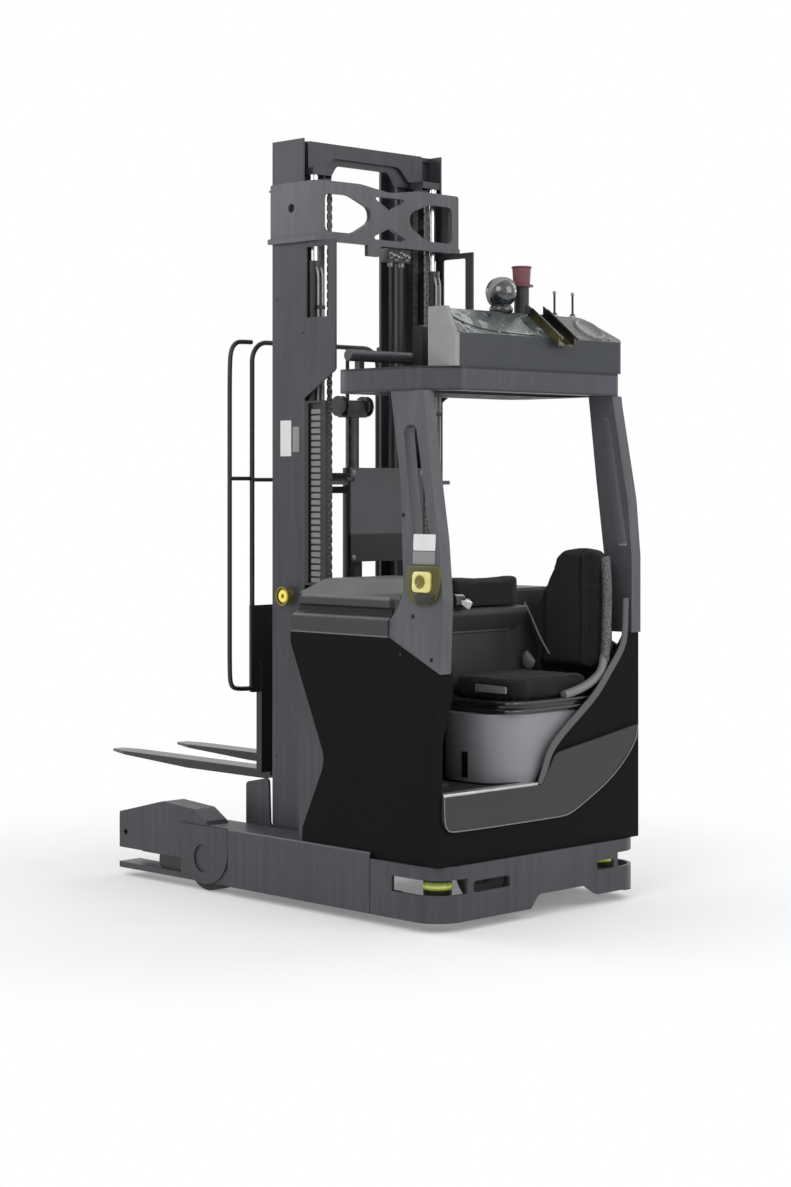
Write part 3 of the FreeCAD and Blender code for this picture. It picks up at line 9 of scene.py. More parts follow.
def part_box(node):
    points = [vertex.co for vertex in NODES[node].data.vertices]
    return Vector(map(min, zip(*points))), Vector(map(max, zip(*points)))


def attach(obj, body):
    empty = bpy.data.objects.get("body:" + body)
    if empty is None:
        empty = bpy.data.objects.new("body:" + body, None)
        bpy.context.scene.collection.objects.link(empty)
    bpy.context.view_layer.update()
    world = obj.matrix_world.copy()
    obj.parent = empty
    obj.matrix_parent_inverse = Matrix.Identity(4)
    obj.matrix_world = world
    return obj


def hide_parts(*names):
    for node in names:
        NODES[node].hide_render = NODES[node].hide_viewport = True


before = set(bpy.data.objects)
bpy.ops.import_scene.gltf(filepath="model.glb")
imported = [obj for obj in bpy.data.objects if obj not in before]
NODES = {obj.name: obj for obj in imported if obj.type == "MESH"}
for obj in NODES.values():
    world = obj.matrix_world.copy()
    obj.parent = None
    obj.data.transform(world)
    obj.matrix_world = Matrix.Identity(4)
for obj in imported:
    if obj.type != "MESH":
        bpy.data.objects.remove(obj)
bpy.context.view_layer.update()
REAR_X = 1.310


def at(d, y, z):
    """A place d ahead of the truck's rear."""
    return (REAR_X - d, y, z)


# Camera and studio: a long lens at eye height behind the truck's left rear corner, as the photograph
# was taken, a plain pale floor, and large soft lamps that light every side at about the same level.
lens = bpy.data.cameras.new("camera")
lens.lens = 70.18
lens.shift_y = -0.0921
camera = bpy.data.objects.new("camera", lens)
camera.location = (7.721, -7.162, 1.790)
camera.rotation_euler = (math.radians(90), 0, math.radians(45.536))
bpy.context.scene.collection.objects.link(camera)
bpy.context.scene.camera = camera
bpy.context.scene.view_settings.view_transform = "Standard"


class Wire:
    """A shader socket. Arithmetic on it adds its Math nodes, and make() adds any other node."""

    def __init__(self, tree, socket=None):
        self.tree = tree
        self.socket = socket

    def make(self, kind, settings=None, inputs=None, out=0):
        node = self.tree.nodes.new("ShaderNode" + kind)
        for key, value in (settings or {}).items():
            setattr(node, key, value)
        for key, value in (inputs or {}).items():
            if isinstance(value, Wire):
                self.tree.links.new(value.socket, node.inputs[key])
            else:
                node.inputs[key].default_value = value
        return Wire(self.tree, node.outputs[out])

    def maths(self, operation, a, b):
        return self.make("Math", {"operation": operation}, {0: a, 1: b})

    def __add__(self, other):
        return self.maths("ADD", self, other)

    def __radd__(self, other):
        return self.maths("ADD", other, self)

    def __sub__(self, other):
        return self.maths("SUBTRACT", self, other)

    def __mul__(self, other):
        return self.maths("MULTIPLY", self, other)

    def clamp(self):
        return self.make("Clamp", None, {0: self})

    def step(self, low, high):
        """0 below low, 1 above high, and smooth between them."""
        return self.make("MapRange", {"interpolation_type": "SMOOTHSTEP"}, {0: self, 1: low, 2: high})

    def band(self, low, high, soft=0.0008):
        """1 between low and high, 0 outside."""
        return self.step(low - soft, low + soft) - self.step(high - soft, high + soft)


class Finish:
    """A material on a Principled shader, with the object's own coordinates at hand."""

    def __init__(self, name, roughness=0.5, metallic=0.0, **even):
        self.material = bpy.data.materials.new(name)
        self.material.use_nodes = True
        self.tree = self.material.node_tree
        self.shader = self.tree.nodes["Principled BSDF"]
        self.shader.inputs["Roughness"].default_value = roughness
        self.shader.inputs["Metallic"].default_value = metallic
        for key, value in even.items():
            self.shader.inputs[key.replace("_", " ")].default_value = value
        self.wire = Wire(self.tree)
        self.place = self.wire.make("TexCoord", out="Object")

    def stretched(self, scale):
        return self.wire.make("Mapping", None, {0: self.place, 3: scale})

    def noise(self, scale, detail=4.0, rough=0.55, at=None, distortion=0.0):
        return self.wire.make("TexNoise", None, {"Vector": at or self.place, "Scale": scale, "Detail": detail,
                                                 "Roughness": rough, "Distortion": distortion})

    def cells(self, scale):
        return self.wire.make("TexVoronoi", None, {"Vector": self.place, "Scale": scale})

    def wave(self, axis, scale, distortion=0.0):
        """Even bands along one axis."""
        return self.wire.make("TexWave", {"bands_direction": axis},
                              {"Vector": self.place, "Scale": scale, "Distortion": distortion})

    def along(self, axis):
        """One of the object's coordinates, in metres."""
        return self.wire.make("SeparateXYZ", None, {0: self.place}, out=axis)

    def blend(self, factor, a, b):
        """A colour between a and b, each a colour or a wire."""
        a, b = (shade if isinstance(shade, Wire) else (*shade, 1) for shade in (a, b))
        return self.wire.make("MixRGB", None, {0: factor, 1: a, 2: b})

    def feed(self, key, value):
        self.tree.links.new(value.socket, self.shader.inputs[key])

    def bump(self, height, depth, strength=1.0):
        """Raises the surface by height times depth, in metres."""
        self.feed("Normal", self.wire.make("Bump", None,
                                           {"Height": height, "Distance": depth, "Strength": strength}))

    def dress(self, *names):
        for name in names:
            thing = NODES[name] if isinstance(name, str) else name
            thing.data.materials.clear()
            thing.data.materials.append(self.material)


def placed(name, data):
    """A new object in the scene."""
    thing = bpy.data.objects.new(name, data)
    bpy.context.scene.collection.objects.link(thing)
    return thing


def new_mesh(name, mesh):
    """Mesh data of a finished bmesh."""
    data = bpy.data.meshes.new(name)
    mesh.to_mesh(data)
    mesh.free()
    return data


floor_mesh = bmesh.new()
bmesh.ops.create_grid(floor_mesh, x_segments=1, y_segments=1, size=30)
floor = placed("floor", new_mesh("floor", floor_mesh))
concrete = Finish("pale_floor", roughness=0.9, Specular_IOR_Level=0.1, Emission_Color=(1, 1, 1, 1),
                  Emission_Strength=0.2)
pores = concrete.noise(40, detail=6)
concrete.feed("Base Color", concrete.blend(pores * 0.06, (0.86, 0.86, 0.86), (0.8, 0.8, 0.8)))
away = concrete.wire.make("VectorMath", {"operation": "LENGTH"}, {0: concrete.place}, out=1).step(1.6, 3.2)
camera_ray = concrete.wire.make("LightPath", out="Is Camera Ray")
white = concrete.wire.make("Emission", None, {"Color": (1, 1, 1, 1), "Strength": 1.0})
shown = concrete.wire.make("MixShader", None, {0: away * camera_ray,
                                               1: Wire(concrete.tree, concrete.shader.outputs[0]), 2: white})
concrete.tree.links.new(shown.socket, concrete.tree.nodes["Material Output"].inputs["Surface"])
concrete.dress(floor)

world = bpy.data.worlds.new("studio")
bpy.context.scene.world = world
world.use_nodes = True
rays = Wire(world.node_tree)
seen = rays.make("LightPath", out="Is Camera Ray") + rays.make("LightPath", out="Is Glossy Ray")
seen = (seen + rays.make("LightPath", out="Is Transmission Ray")).clamp()
strength = seen * 0.5 + 0.5
world.node_tree.links.new(strength.socket, world.node_tree.nodes["Background"].inputs["Strength"])
world.node_tree.nodes["Background"].inputs["Color"].default_value = (1, 1, 1, 1)

LAMP_SIZE, AIM = 4.0, Vector((0, 0, 1.2))
for name, place, power in (("key", (3.5, -6.5, 5.5), 150), ("rear", (6.5, 1.5, 4.0), 120),
                           ("front", (-5.5, -2.0, 5.0), 120), ("far", (0.0, 6.5, 5.0), 110)):
    data = bpy.data.lights.new(name, "AREA")
    data.size = LAMP_SIZE
    data.energy = power
    lamp = placed(name, data)
    lamp.location = place
    lamp.rotation_euler = (AIM - Vector(place)).to_track_quat("-Z", "Y").to_euler()


# Steel frame: base, legs, reach carriage and mast are welded plate with a satin gray powder coat. Fine
# orange peel, faint streaks down the sheets and scuffs along the working height show in the real one.
def powder_coat(name, colour, roughness=0.42, streak=0.5, seams=(), extra=None):
    """A powder coat with streaks and scuffs. Seams are two dark joints across the truck, places on X."""
    coat = Finish(name, roughness=roughness, Specular_IOR_Level=0.4, Coat_Weight=0.1, Coat_Roughness=0.3)
    broad = coat.noise(1.6, detail=5)
    runs = coat.noise(6, detail=6, at=coat.stretched((6, 6, 0.35)))
    grain = coat.noise(420, detail=2)
    scuff = coat.noise(14, detail=8, rough=0.75, distortion=0.6).step(0.62, 0.78)
    chips = coat.noise(70, detail=6, rough=0.8).step(0.70, 0.76)
    tone = (broad - 0.5) * 1.1 + (runs - 0.5) * streak * 2.2
    shade = coat.blend((tone + 0.5).clamp(), [c * 0.6 for c in colour], [c * 1.6 for c in colour])
    shade = coat.blend(scuff * 0.22, shade, (0.3, 0.3, 0.31))
    shade = coat.blend(chips * 0.35, shade, (0.22, 0.21, 0.20))
    height = grain + scuff * -0.6
    if seams:
        first, second = (coat.along(0).band(place - 0.0035, place + 0.0035) for place in seams)
        joint = first + second
        shade = coat.blend(joint.clamp(), shade, (0.004, 0.004, 0.005))
        height = height - joint * 8
    if extra:
        shade = extra(coat, shade)
    coat.feed("Base Color", shade)
    coat.feed("Roughness", (roughness + (broad - 0.5) * 0.18 + scuff * 0.12).clamp())
    coat.bump(height, 0.0002)
    return coat


SIDES = ((-1, "left"), (1, "right"))
FRAME_GRAY = (0.036, 0.039, 0.045)
frame_coat = powder_coat("gray_powder_coat", FRAME_GRAY)
frame_coat.dress("reach_carriage", "mast_outer", "mast_plates", "mast_wings", "mast_caps", "mast_middle",
                 "mast_inner", "middle_bars", "inner_bars", "drive_unit", "battery")
base_coat = powder_coat("base_powder_coat", FRAME_GRAY, seams=(REAR_X - 0.3885, REAR_X - 1.2825))
base_coat.dress("chassis_base", "legs", "leg_tips", "wheel_covers")


def body_mesh(name, mesh, finish, body="chassis", smooth=40):
    """A new object of a finished bmesh: it rides on a body, in the given finish."""
    bmesh.ops.recalc_face_normals(mesh, faces=mesh.faces)
    data = new_mesh(name, mesh)
    piece = placed(name, data)
    data.materials.append(finish.material)
    data.shade_smooth()
    data.set_sharp_from_angle(angle=math.radians(smooth))
    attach(piece, body)


def together(meshes):
    """One bmesh of several, each with its own doubles merged."""
    whole = bmesh.new()
    for mesh in meshes:
        bmesh.ops.remove_doubles(mesh, verts=mesh.verts, dist=1e-6)
        part = new_mesh("part", mesh)
        whole.from_mesh(part)
        bpy.data.meshes.remove(part)
    return whole


def soften(mesh, edges, offset, segments):
    """Rounds edges off."""
    bmesh.ops.bevel(mesh, geom=edges, offset=offset, segments=segments, profile=0.5, affect="EDGES",
                    material=-1)


def lean_to(axis):
    """The turn of an upright shape onto an axis."""
    return Vector((0, 0, 1)).rotation_difference(Vector(axis)).to_matrix().to_4x4()


def turned(profile, centre, axis=(0, 0, 1), steps=32):
    """A lathe shape: a profile of (radius, height) spun about an axis through the centre."""
    mesh = bmesh.new()
    line = [mesh.verts.new((radius, 0, height)) for radius, height in profile]
    edges = [mesh.edges.new(pair) for pair in zip(line, line[1:])]
    bmesh.ops.spin(mesh, geom=line + edges, cent=(0, 0, 0), axis=(0, 0, 1), angle=math.tau, steps=steps,
                   use_merge=True)
    bmesh.ops.remove_doubles(mesh, verts=mesh.verts, dist=1e-6)
    bmesh.ops.transform(mesh, matrix=Matrix.Translation(centre) @ lean_to(axis), verts=mesh.verts)
    return mesh


def slab(corners, normal, thick, edge):
    """A plate: corners, each (place, corner radius), pushed out along a normal, with soft edges."""
    mesh = bmesh.new()
    verts = [mesh.verts.new(place) for place, radius in corners]
    mesh.faces.new(verts)
    for vert, (place, radius) in zip(verts, corners):
        if radius:
            bmesh.ops.bevel(mesh, geom=[vert], offset=radius, segments=6, profile=0.5, affect="VERTICES",
                            material=-1)
    grown = bmesh.ops.extrude_face_region(mesh, geom=mesh.faces[:])
    moved = [v for v in grown["geom"] if isinstance(v, bmesh.types.BMVert)]
    bmesh.ops.translate(mesh, vec=Vector(normal) * thick, verts=moved)
    bmesh.ops.recalc_face_normals(mesh, faces=mesh.faces)
    far = set(moved)
    soften(mesh, [e for e in mesh.edges if far.issuperset(e.verts)], edge, 3)
    return mesh


def flat_plate(axis, level, first, second, depth, edge, radii=(0, 0, 0, 0)):
    """A slab on a rectangle across an axis: first and second are its spans on the other two axes."""
    (a, b), (c, d) = first, second
    corners = [(Vector(pair[:axis] + (level,) + pair[axis:]), radius)
               for pair, radius in zip(((a, c), (b, c), (b, d), (a, d)), radii)]
    return slab(corners, [int(i == axis) for i in range(3)], depth, edge)


# Load wheels: brown-black polyurethane treads bonded to gray cast hubs, which have the rough skin of a
# sand casting. Five zinc-plated bolts hold each hub's bearing cover.
def hex_bolt(place, axis, across):
    """A hex head with a chamfered top on a washer, standing on a surface."""
    washer = turned([(0, 0), (across * 0.95, 0), (across * 0.95, 0.0018), (0, 0.0018)], place, axis, steps=20)
    head = bmesh.new()
    bmesh.ops.create_cone(head, cap_ends=True, segments=6, radius1=across * 0.58, radius2=across * 0.58,
                          depth=across * 0.4)
    top = [e for e in head.edges if all(v.co.z > 0 for v in e.verts)]
    soften(head, top, across * 0.07, 2)
    lift = Matrix.Translation(Vector(place) + Vector(axis) * (0.0018 + across * 0.2))
    bmesh.ops.transform(head, matrix=lift @ lean_to(axis), verts=head.verts)
    return together([washer, head])


def bolted(name, heads, body, finish=None):
    """Bolt heads as one piece on a body, zinc plated unless they have a finish."""
    body_mesh(name, together(heads), finish or zinc, body, smooth=30)


def mottled(name, dark, light, scale, detail=5, rough=0.55, stretch=None, edge=None, polish=None, depth=0.0,
            **even):
    """A finish mottled by one noise, which may also vary its roughness (least, more) and raise it."""
    skin = Finish(name, **even)
    patches = skin.noise(scale, detail, rough, at=skin.stretched(stretch) if stretch else None)
    if edge:
        patches = patches.step(*edge)
    skin.feed("Base Color", skin.blend(patches, dark, light))
    if polish:
        skin.feed("Roughness", (polish[0] + patches * polish[1]).clamp())
    if depth:
        skin.bump(patches, depth)
    return skin


tread = Finish("polyurethane_tread", roughness=0.7, Specular_IOR_Level=0.3)
dust = tread.noise(30, detail=8, rough=0.7)
lines = tread.noise(8, detail=4, at=tread.stretched((1, 26, 1)))
tread.feed("Base Color", tread.blend((dust - 0.2).clamp(), (0.028, 0.024, 0.022), (0.10, 0.092, 0.085)))
tread.feed("Roughness", (0.6 + dust * 0.25).clamp())
tread.bump(dust + lines * 0.5, 0.0004)
tread.dress("load_tyre_left", "load_tyre_right", "drive_tyre")
cast = mottled("sand_casting", (0.07, 0.072, 0.078), (0.17, 0.17, 0.18), 160, detail=6, rough=0.7,
               polish=(0.45, 0.25), depth=0.0006, metallic=0.25)
cast.dress("load_hub_left", "load_hub_right", "drive_hub")
zinc = mottled("zinc_plate", (0.14, 0.14, 0.145), (0.38, 0.38, 0.39), 120, detail=6, polish=(0.28, 0.25),
               metallic=0.85)
LOAD_X, LOAD_Z = REAR_X - 1.450, 0.143
for side, name in SIDES:
    heads = []
    for i in range(5):
        angle = math.tau * i / 5
        spot = (LOAD_X + 0.062 * math.cos(angle), side * 0.5873, LOAD_Z + 0.062 * math.sin(angle))
        heads.append(hex_bolt(spot, (0, side, 0), 0.012))
    bolted("hub_bolts_" + name, heads, "load_wheel_" + name)


# Scanners: in each rear corner a black laser scanner looks out of the bumper's window through a bulged
# yellow-green band with a faint painted glow. Those in the leg tips have dark windows.
scanner_skin = mottled("scanner_black", (0.006, 0.007, 0.006), (0.022, 0.024, 0.020), 60, polish=(0.25, 0.25),
                       Specular_IOR_Level=0.45)
scanner_skin.dress("scanners")
window_glass = Finish("scanner_window", roughness=0.12, Specular_IOR_Level=0.6, Coat_Weight=0.6,
                      Coat_Roughness=0.05, Emission_Strength=0.25)
height = window_glass.along(2)
glow = height.band(0.166, 0.178, 0.007)
tint_and_painted_glow = window_glass.blend(glow, (0.16, 0.24, 0.005), (0.78, 0.85, 0.16))
# The window's colour also feeds its emission: a faint painted glow, though the scanner window is no lamp.
window_glass.feed("Base Color", tint_and_painted_glow)
window_glass.feed("Emission Color", tint_and_painted_glow)
for side, name in SIDES:
    centre = at(0.130, side * 0.505, 0)
    bulge = [(0.0575, 0.158), (0.0588, 0.161), (0.0596, 0.168), (0.0598, 0.175), (0.0596, 0.182),
             (0.0588, 0.189), (0.0575, 0.192), (0.0575, 0.158)]
    body_mesh("scanner_lens_" + name, turned(bulge, centre, steps=64), window_glass)


# Moulded covers: side panels and rear skin are black grained plastic over steel. The grain is a fine
# leather-like pebble, duller on flat faces, with pale rub marks near the step.
def grained_plastic(name, colour, roughness=0.55, pebble=900, rub=0.25, specular=0.25, extra=None):
    """Grained plastic; extra(skin, shade) may lay more colour over it."""
    skin = Finish(name, roughness=roughness, Specular_IOR_Level=specular)
    broad = skin.noise(2.2, detail=4)
    fine = skin.cells(pebble)
    marks = skin.noise(22, detail=9, rough=0.8, distortion=1.0).step(0.6, 0.8)
    shade = skin.blend((broad - 0.15).clamp(), [c * 0.8 for c in colour], [c * 1.3 for c in colour])
    shade = skin.blend(marks * rub * 0.4, shade, (0.12, 0.12, 0.12))
    if extra:
        shade = extra(skin, shade)
    skin.feed("Base Color", shade)
    skin.feed("Roughness", (roughness + (broad - 0.5) * 0.2 - marks * 0.1).clamp())
    skin.bump(fine, 0.00025, 0.6)
    return skin


cover_skin = grained_plastic("black_cover", (0.0036, 0.0037, 0.0038), roughness=0.65, rub=0.10, specular=0.09)
cover_skin.dress("side_panels", "rear_panel")


# Battery lid: a stepped cover of charcoal plastic. Its sloping top and crown are paler, as painted light
# from above mottled by wear, the groove along each side is darkened to black as painted shade, and the lip
# below it has a light worn edge.
def lid_wear_and_painted_light(skin, shade):
    height = skin.along(2)
    wear = skin.noise(9, detail=8, rough=0.7, at=skin.stretched((1, 3, 1)))
    groove = height.band(1.252, 1.287)
    top = height.band(1.318, 1.40, 0.006)
    edge = height.band(1.168, 1.1735) + height.band(1.240, 1.247)
    # Painted light: the sloping top is lifted paler as if lit from above, mottled by wear. Painted shade: the
    # groove is darkened to black.
    shade = skin.blend((top * 0.75 + top * wear * 0.5).clamp(), shade, (0.150, 0.152, 0.155))
    shade = skin.blend(groove * 0.85, shade, (0.006, 0.006, 0.006))
    return skin.blend((edge * (0.25 + wear * 0.6)).clamp(), shade, (0.24, 0.24, 0.245))


lid_skin = grained_plastic("lid_cover", (0.048, 0.049, 0.051), roughness=0.5, extra=lid_wear_and_painted_light)
lid_skin.dress("battery_lid")
crown = bmesh.new()
rim = bmesh.ops.create_cube(crown, size=1)["verts"]
bmesh.ops.scale(crown, vec=(0.330, 0.560, 0.058), verts=rim)
bmesh.ops.translate(crown, vec=at(0.695, -0.318, 1.361), verts=rim)
for vert in rim:
    if vert.co.z > 1.36 and vert.co.y < -0.4:
        vert.co.y = -0.455
    if vert.co.z > 1.36 and vert.co.x > REAR_X - 0.6:
        vert.co.x = REAR_X - 0.570
soften(crown, [e for e in crown.edges if min(v.co.z for v in e.verts) > 1.34], 0.022, 5)
# The crown's pale gray is painted light on the lid's top.
crown_skin_painted_light = grained_plastic("crown_cover_painted_light", (0.200, 0.202, 0.205), roughness=0.5, rub=0.5)
body_mesh("lid_crown", crown, crown_skin_painted_light, smooth=50)


# Cab entry: a pale moulded band follows the entry's far edge up to the pillar, a bright lip runs round
# the sill, and a worn aluminium nosing covers the step. All are pressed onto the rear skin.
def curve_mesh(name, points, closed=False, radius=0.0, profile=None):
    """The mesh of a smooth line through control points, as a round bar or swept with a flat profile."""
    curve = bpy.data.curves.new(name, "CURVE")
    curve.dimensions = "3D"
    curve.twist_mode = "Z_UP" if profile else "MINIMUM"
    line = curve.splines.new("NURBS")
    line.points.add(len(points) - 1)
    for point, place in zip(line.points, points):
        point.co = (*place, 1)
    line.order_u = 3
    line.use_endpoint_u = not closed
    line.use_cyclic_u = closed
    curve.resolution_u = 8
    shape = None
    if profile:
        outline = bpy.data.curves.new(name + "_profile", "CURVE")
        outline.dimensions = "2D"
        ring = outline.splines.new("POLY")
        ring.points.add(len(profile) - 1)
        for point, place in zip(ring.points, profile):
            point.co = (*place, 0, 1)
        ring.use_cyclic_u = True
        shape = placed(name + "_profile", outline)
        curve.bevel_mode = "OBJECT"
        curve.bevel_object = shape
    else:
        curve.bevel_depth = radius
        curve.bevel_resolution = 4
    curve.use_fill_caps = not closed
    guide = placed(name, curve)
    graph = bpy.context.evaluated_depsgraph_get()
    data = bpy.data.meshes.new_from_object(guide.evaluated_get(graph))
    bpy.data.objects.remove(guide)
    if shape:
        bpy.data.objects.remove(shape)
    mesh = bmesh.new()
    mesh.from_mesh(data)
    bpy.data.meshes.remove(data)
    bmesh.ops.remove_doubles(mesh, verts=mesh.verts, dist=1e-6)
    return mesh


def bar(name, points, radius, finish):
    """A smooth round bar on the chassis."""
    body_mesh(name, curve_mesh(name, points, radius=radius), finish)


def strip_on_rear(name, points, width, thick, face, finish):
    """A flat strip with soft edges that follows a line of (y, z) points on a face across the truck."""
    half, soft = width / 2, min(thick, width / 2) * 0.5
    section = [(-half, 0), (-half, thick - soft), (-half + soft, thick), (half - soft, thick),
               (half, thick - soft), (half, 0)]
    mesh = curve_mesh(name, [(y, z, 0) for y, z in points], profile=section)
    upright = Matrix(((0, 0, 1, face), (1, 0, 0, 0), (0, 1, 0, 0), (0, 0, 0, 1)))
    bmesh.ops.transform(mesh, matrix=upright, verts=mesh.verts)
    body_mesh(name, mesh, finish)


REAR_FACE = REAR_X - 0.014
SILL_FACE = REAR_X - 0.002
FLOOR_TOP = 0.5502
sill_skin = grained_plastic("charcoal_sill", (0.040, 0.042, 0.044), roughness=0.45, rub=0.4)
sill_skin.dress("sill_panel")
trim_skin = grained_plastic("pale_trim", (0.095, 0.098, 0.098), roughness=0.35, rub=0.5, specular=0.4)
strip_on_rear("entry_band", [(-0.018, 0.545), (0.010, 0.610), (0.040, 0.680), (0.120, 0.750), (0.240, 0.830),
                             (0.345, 0.905), (0.430, 1.000), (0.505, 1.080), (0.530, 1.150), (0.532, 1.30)],
              0.034, 0.009, REAR_FACE, trim_skin)
lip_skin = grained_plastic("worn_lip", (0.20, 0.20, 0.205), roughness=0.35, rub=0.6, specular=0.45)
strip_on_rear("sill_lip", [(-0.597, 0.545), (-0.597, 0.470), (-0.585, 0.412), (-0.530, 0.402), (0.020, 0.402),
                           (0.150, 0.404), (0.260, 0.452), (0.400, 0.520), (0.500, 0.590), (0.598, 0.690),
                           (0.600, 0.750)], 0.0045, 0.003, SILL_FACE, lip_skin)
nosing = mottled("step_aluminium", (0.34, 0.34, 0.35), (0.80, 0.80, 0.80), 40, detail=8, stretch=(1, 0.25, 1),
                 polish=(0.22, 0.3), metallic=0.9)
nosing.bump(nosing.wave("X", 50.0), 0.0008)
step = flat_plate(2, FLOOR_TOP, (REAR_FACE - 0.042, REAR_FACE + 0.004), (-0.592, -0.034), 0.006, 0.002)
nose = flat_plate(0, REAR_FACE + 0.001, (-0.592, -0.034), (0.536, 0.556), 0.005, 0.002)
body_mesh("step_nosing", together([step, nose]), nosing)


# Cab tub: a moulded tub of olive gray plastic. Its floor is black, with a ribbed rubber mat and rubber
# pads on the pedals, and a flush panel with a shadow line closes the wall behind the driver's feet.
def tub_layers(skin, shade):
    floor_part = skin.along(2).band(0.40, 0.612)
    return skin.blend(floor_part * 0.85, shade, (0.010, 0.010, 0.010))


tub_skin = grained_plastic("olive_gray_tub", (0.066, 0.066, 0.061), roughness=0.55, extra=tub_layers)
tub_skin.dress("cab_tub")
rubber = Finish("ribbed_rubber", roughness=0.75, Specular_IOR_Level=0.25)
ribs = rubber.wave("X", 32.0)
grit = rubber.noise(80, detail=6)
rubber.feed("Base Color", rubber.blend(grit, (0.008, 0.008, 0.008), (0.034, 0.033, 0.031)))
rubber.bump(ribs + grit * 0.4, 0.0015)
mat = flat_plate(2, FLOOR_TOP, (REAR_X - 0.055, REAR_X - 0.470), (-0.594, -0.262), 0.005, 0.002, [0.02] * 4)
body_mesh("floor_mat", mat, rubber)
PEDAL = ((0.010, -0.580, 0.5792), (0.092, -0.580, 0.6029), (0.092, -0.450, 0.6029), (0.010, -0.450, 0.5792))
pads = []
for d in (0.130, 0.270):
    corners = [(at(d + ahead, y, z), 0.008) for ahead, y, z in PEDAL]
    pads.append(slab(corners, Vector((0.277, 0, 0.961)), 0.005, 0.0015))
body_mesh("pedal_pads", together(pads), rubber)
WALL_X = REAR_X - 0.484
panel_skin = grained_plastic("tub_panel", (0.058, 0.058, 0.054), roughness=0.5)
panel = flat_plate(0, WALL_X, (-0.330, 0.285), (0.900, 1.144), 0.004, 0.0015, (0.02, 0.02, 0.012, 0.012))
body_mesh("wall_panel", panel, panel_skin)
ledge = flat_plate(0, WALL_X, (-0.590, 0.300), (1.150, 1.160), 0.010, 0.004)
body_mesh("wall_ledge", ledge, trim_skin)


# Pedestal: a silvery moulded column under the seat. Its grip slot near the left side is drawn as a thin
# black sheet of painted shade, and a rubber seal runs where it meets the floor.
def pedestal_fade(skin, shade):
    # Darker towards the bottom, in noisy patches.
    darker_low = skin.along(2).step(0.62, 0.55) * skin.noise(14, detail=6)
    return skin.blend((darker_low * 0.6).clamp(), shade, (0.10, 0.10, 0.10))


pedestal_skin = grained_plastic("silver_gray_cover", (0.26, 0.265, 0.285), roughness=0.36, pebble=700, rub=0.1,
                                specular=0.4, extra=pedestal_fade)
pedestal_skin.dress("pedestal")
seal_black_and_slot_shade = grained_plastic("seal_and_slot_shade_black", (0.004, 0.004, 0.004), roughness=0.5)
SLOT_CENTRE = Vector(at(0.259, -0.020, 0))
# A thin black sheet on the wall where the slot's recess is: painted shade.
slot_shade_sheet = turned([(0.2145, 0.575), (0.2168, 0.579), (0.2168, 0.676), (0.2145, 0.680)], SLOT_CENTRE, steps=180)


def off_slot(face):
    """Whether a face of the turned wall lies beside the slot."""
    middle = face.calc_center_median() - SLOT_CENTRE
    return abs(math.atan2(middle.y, middle.x) - math.radians(-84)) > 0.07


bmesh.ops.delete(slot_shade_sheet, geom=[face for face in slot_shade_sheet.faces if off_slot(face)], context="FACES")
bmesh.ops.solidify(slot_shade_sheet, geom=slot_shade_sheet.faces[:], thickness=0.002)
body_mesh("grip_slot_shade", slot_shade_sheet, seal_black_and_slot_shade)
SEAL_LINE = ((0.060, -0.08), (0.060, -0.150), (0.150, -0.232), (0.250, -0.238), (0.350, -0.232),
             (0.440, -0.150), (0.455, -0.08))
bar("floor_seal", [at(*spot, 0.5540) for spot in SEAL_LINE], 0.005, seal_black_and_slot_shade)


# Upholstery: woven black cloth over moulded foam. A fine basket weave with a few paler slubs, and a
# soft sheen where it curves away.
def seat_cloth():
    cloth = Finish("seat_cloth", roughness=0.85, Specular_IOR_Level=0.15, Sheen_Weight=0.12,
                   Sheen_Roughness=0.5)
    warp = cloth.wave("X", 130.0, 0.6)
    weft = cloth.wave("Z", 130.0, 0.6)
    cross = cloth.wave("Y", 130.0, 0.6)
    weave = warp * weft + weft * cross + warp * cross
    slub = cloth.noise(55, detail=6, rough=0.7).step(0.5, 0.8)
    wear = cloth.noise(5, detail=4)
    tone = (weave * 0.25 + slub * 0.35 + wear * 0.25).clamp()
    cloth.feed("Base Color", cloth.blend(tone, (0.003, 0.003, 0.0035), (0.024, 0.0235, 0.022)))
    cloth.feed("Roughness", (0.8 + wear * 0.15).clamp())
    cloth.bump(weave + slub * 0.5, 0.0006)
    return cloth


upholstery = seat_cloth()
FOAM_CELL, FOAM_PRESSURE, FOAM_FRAMES = 0.0065, 4.0, 20


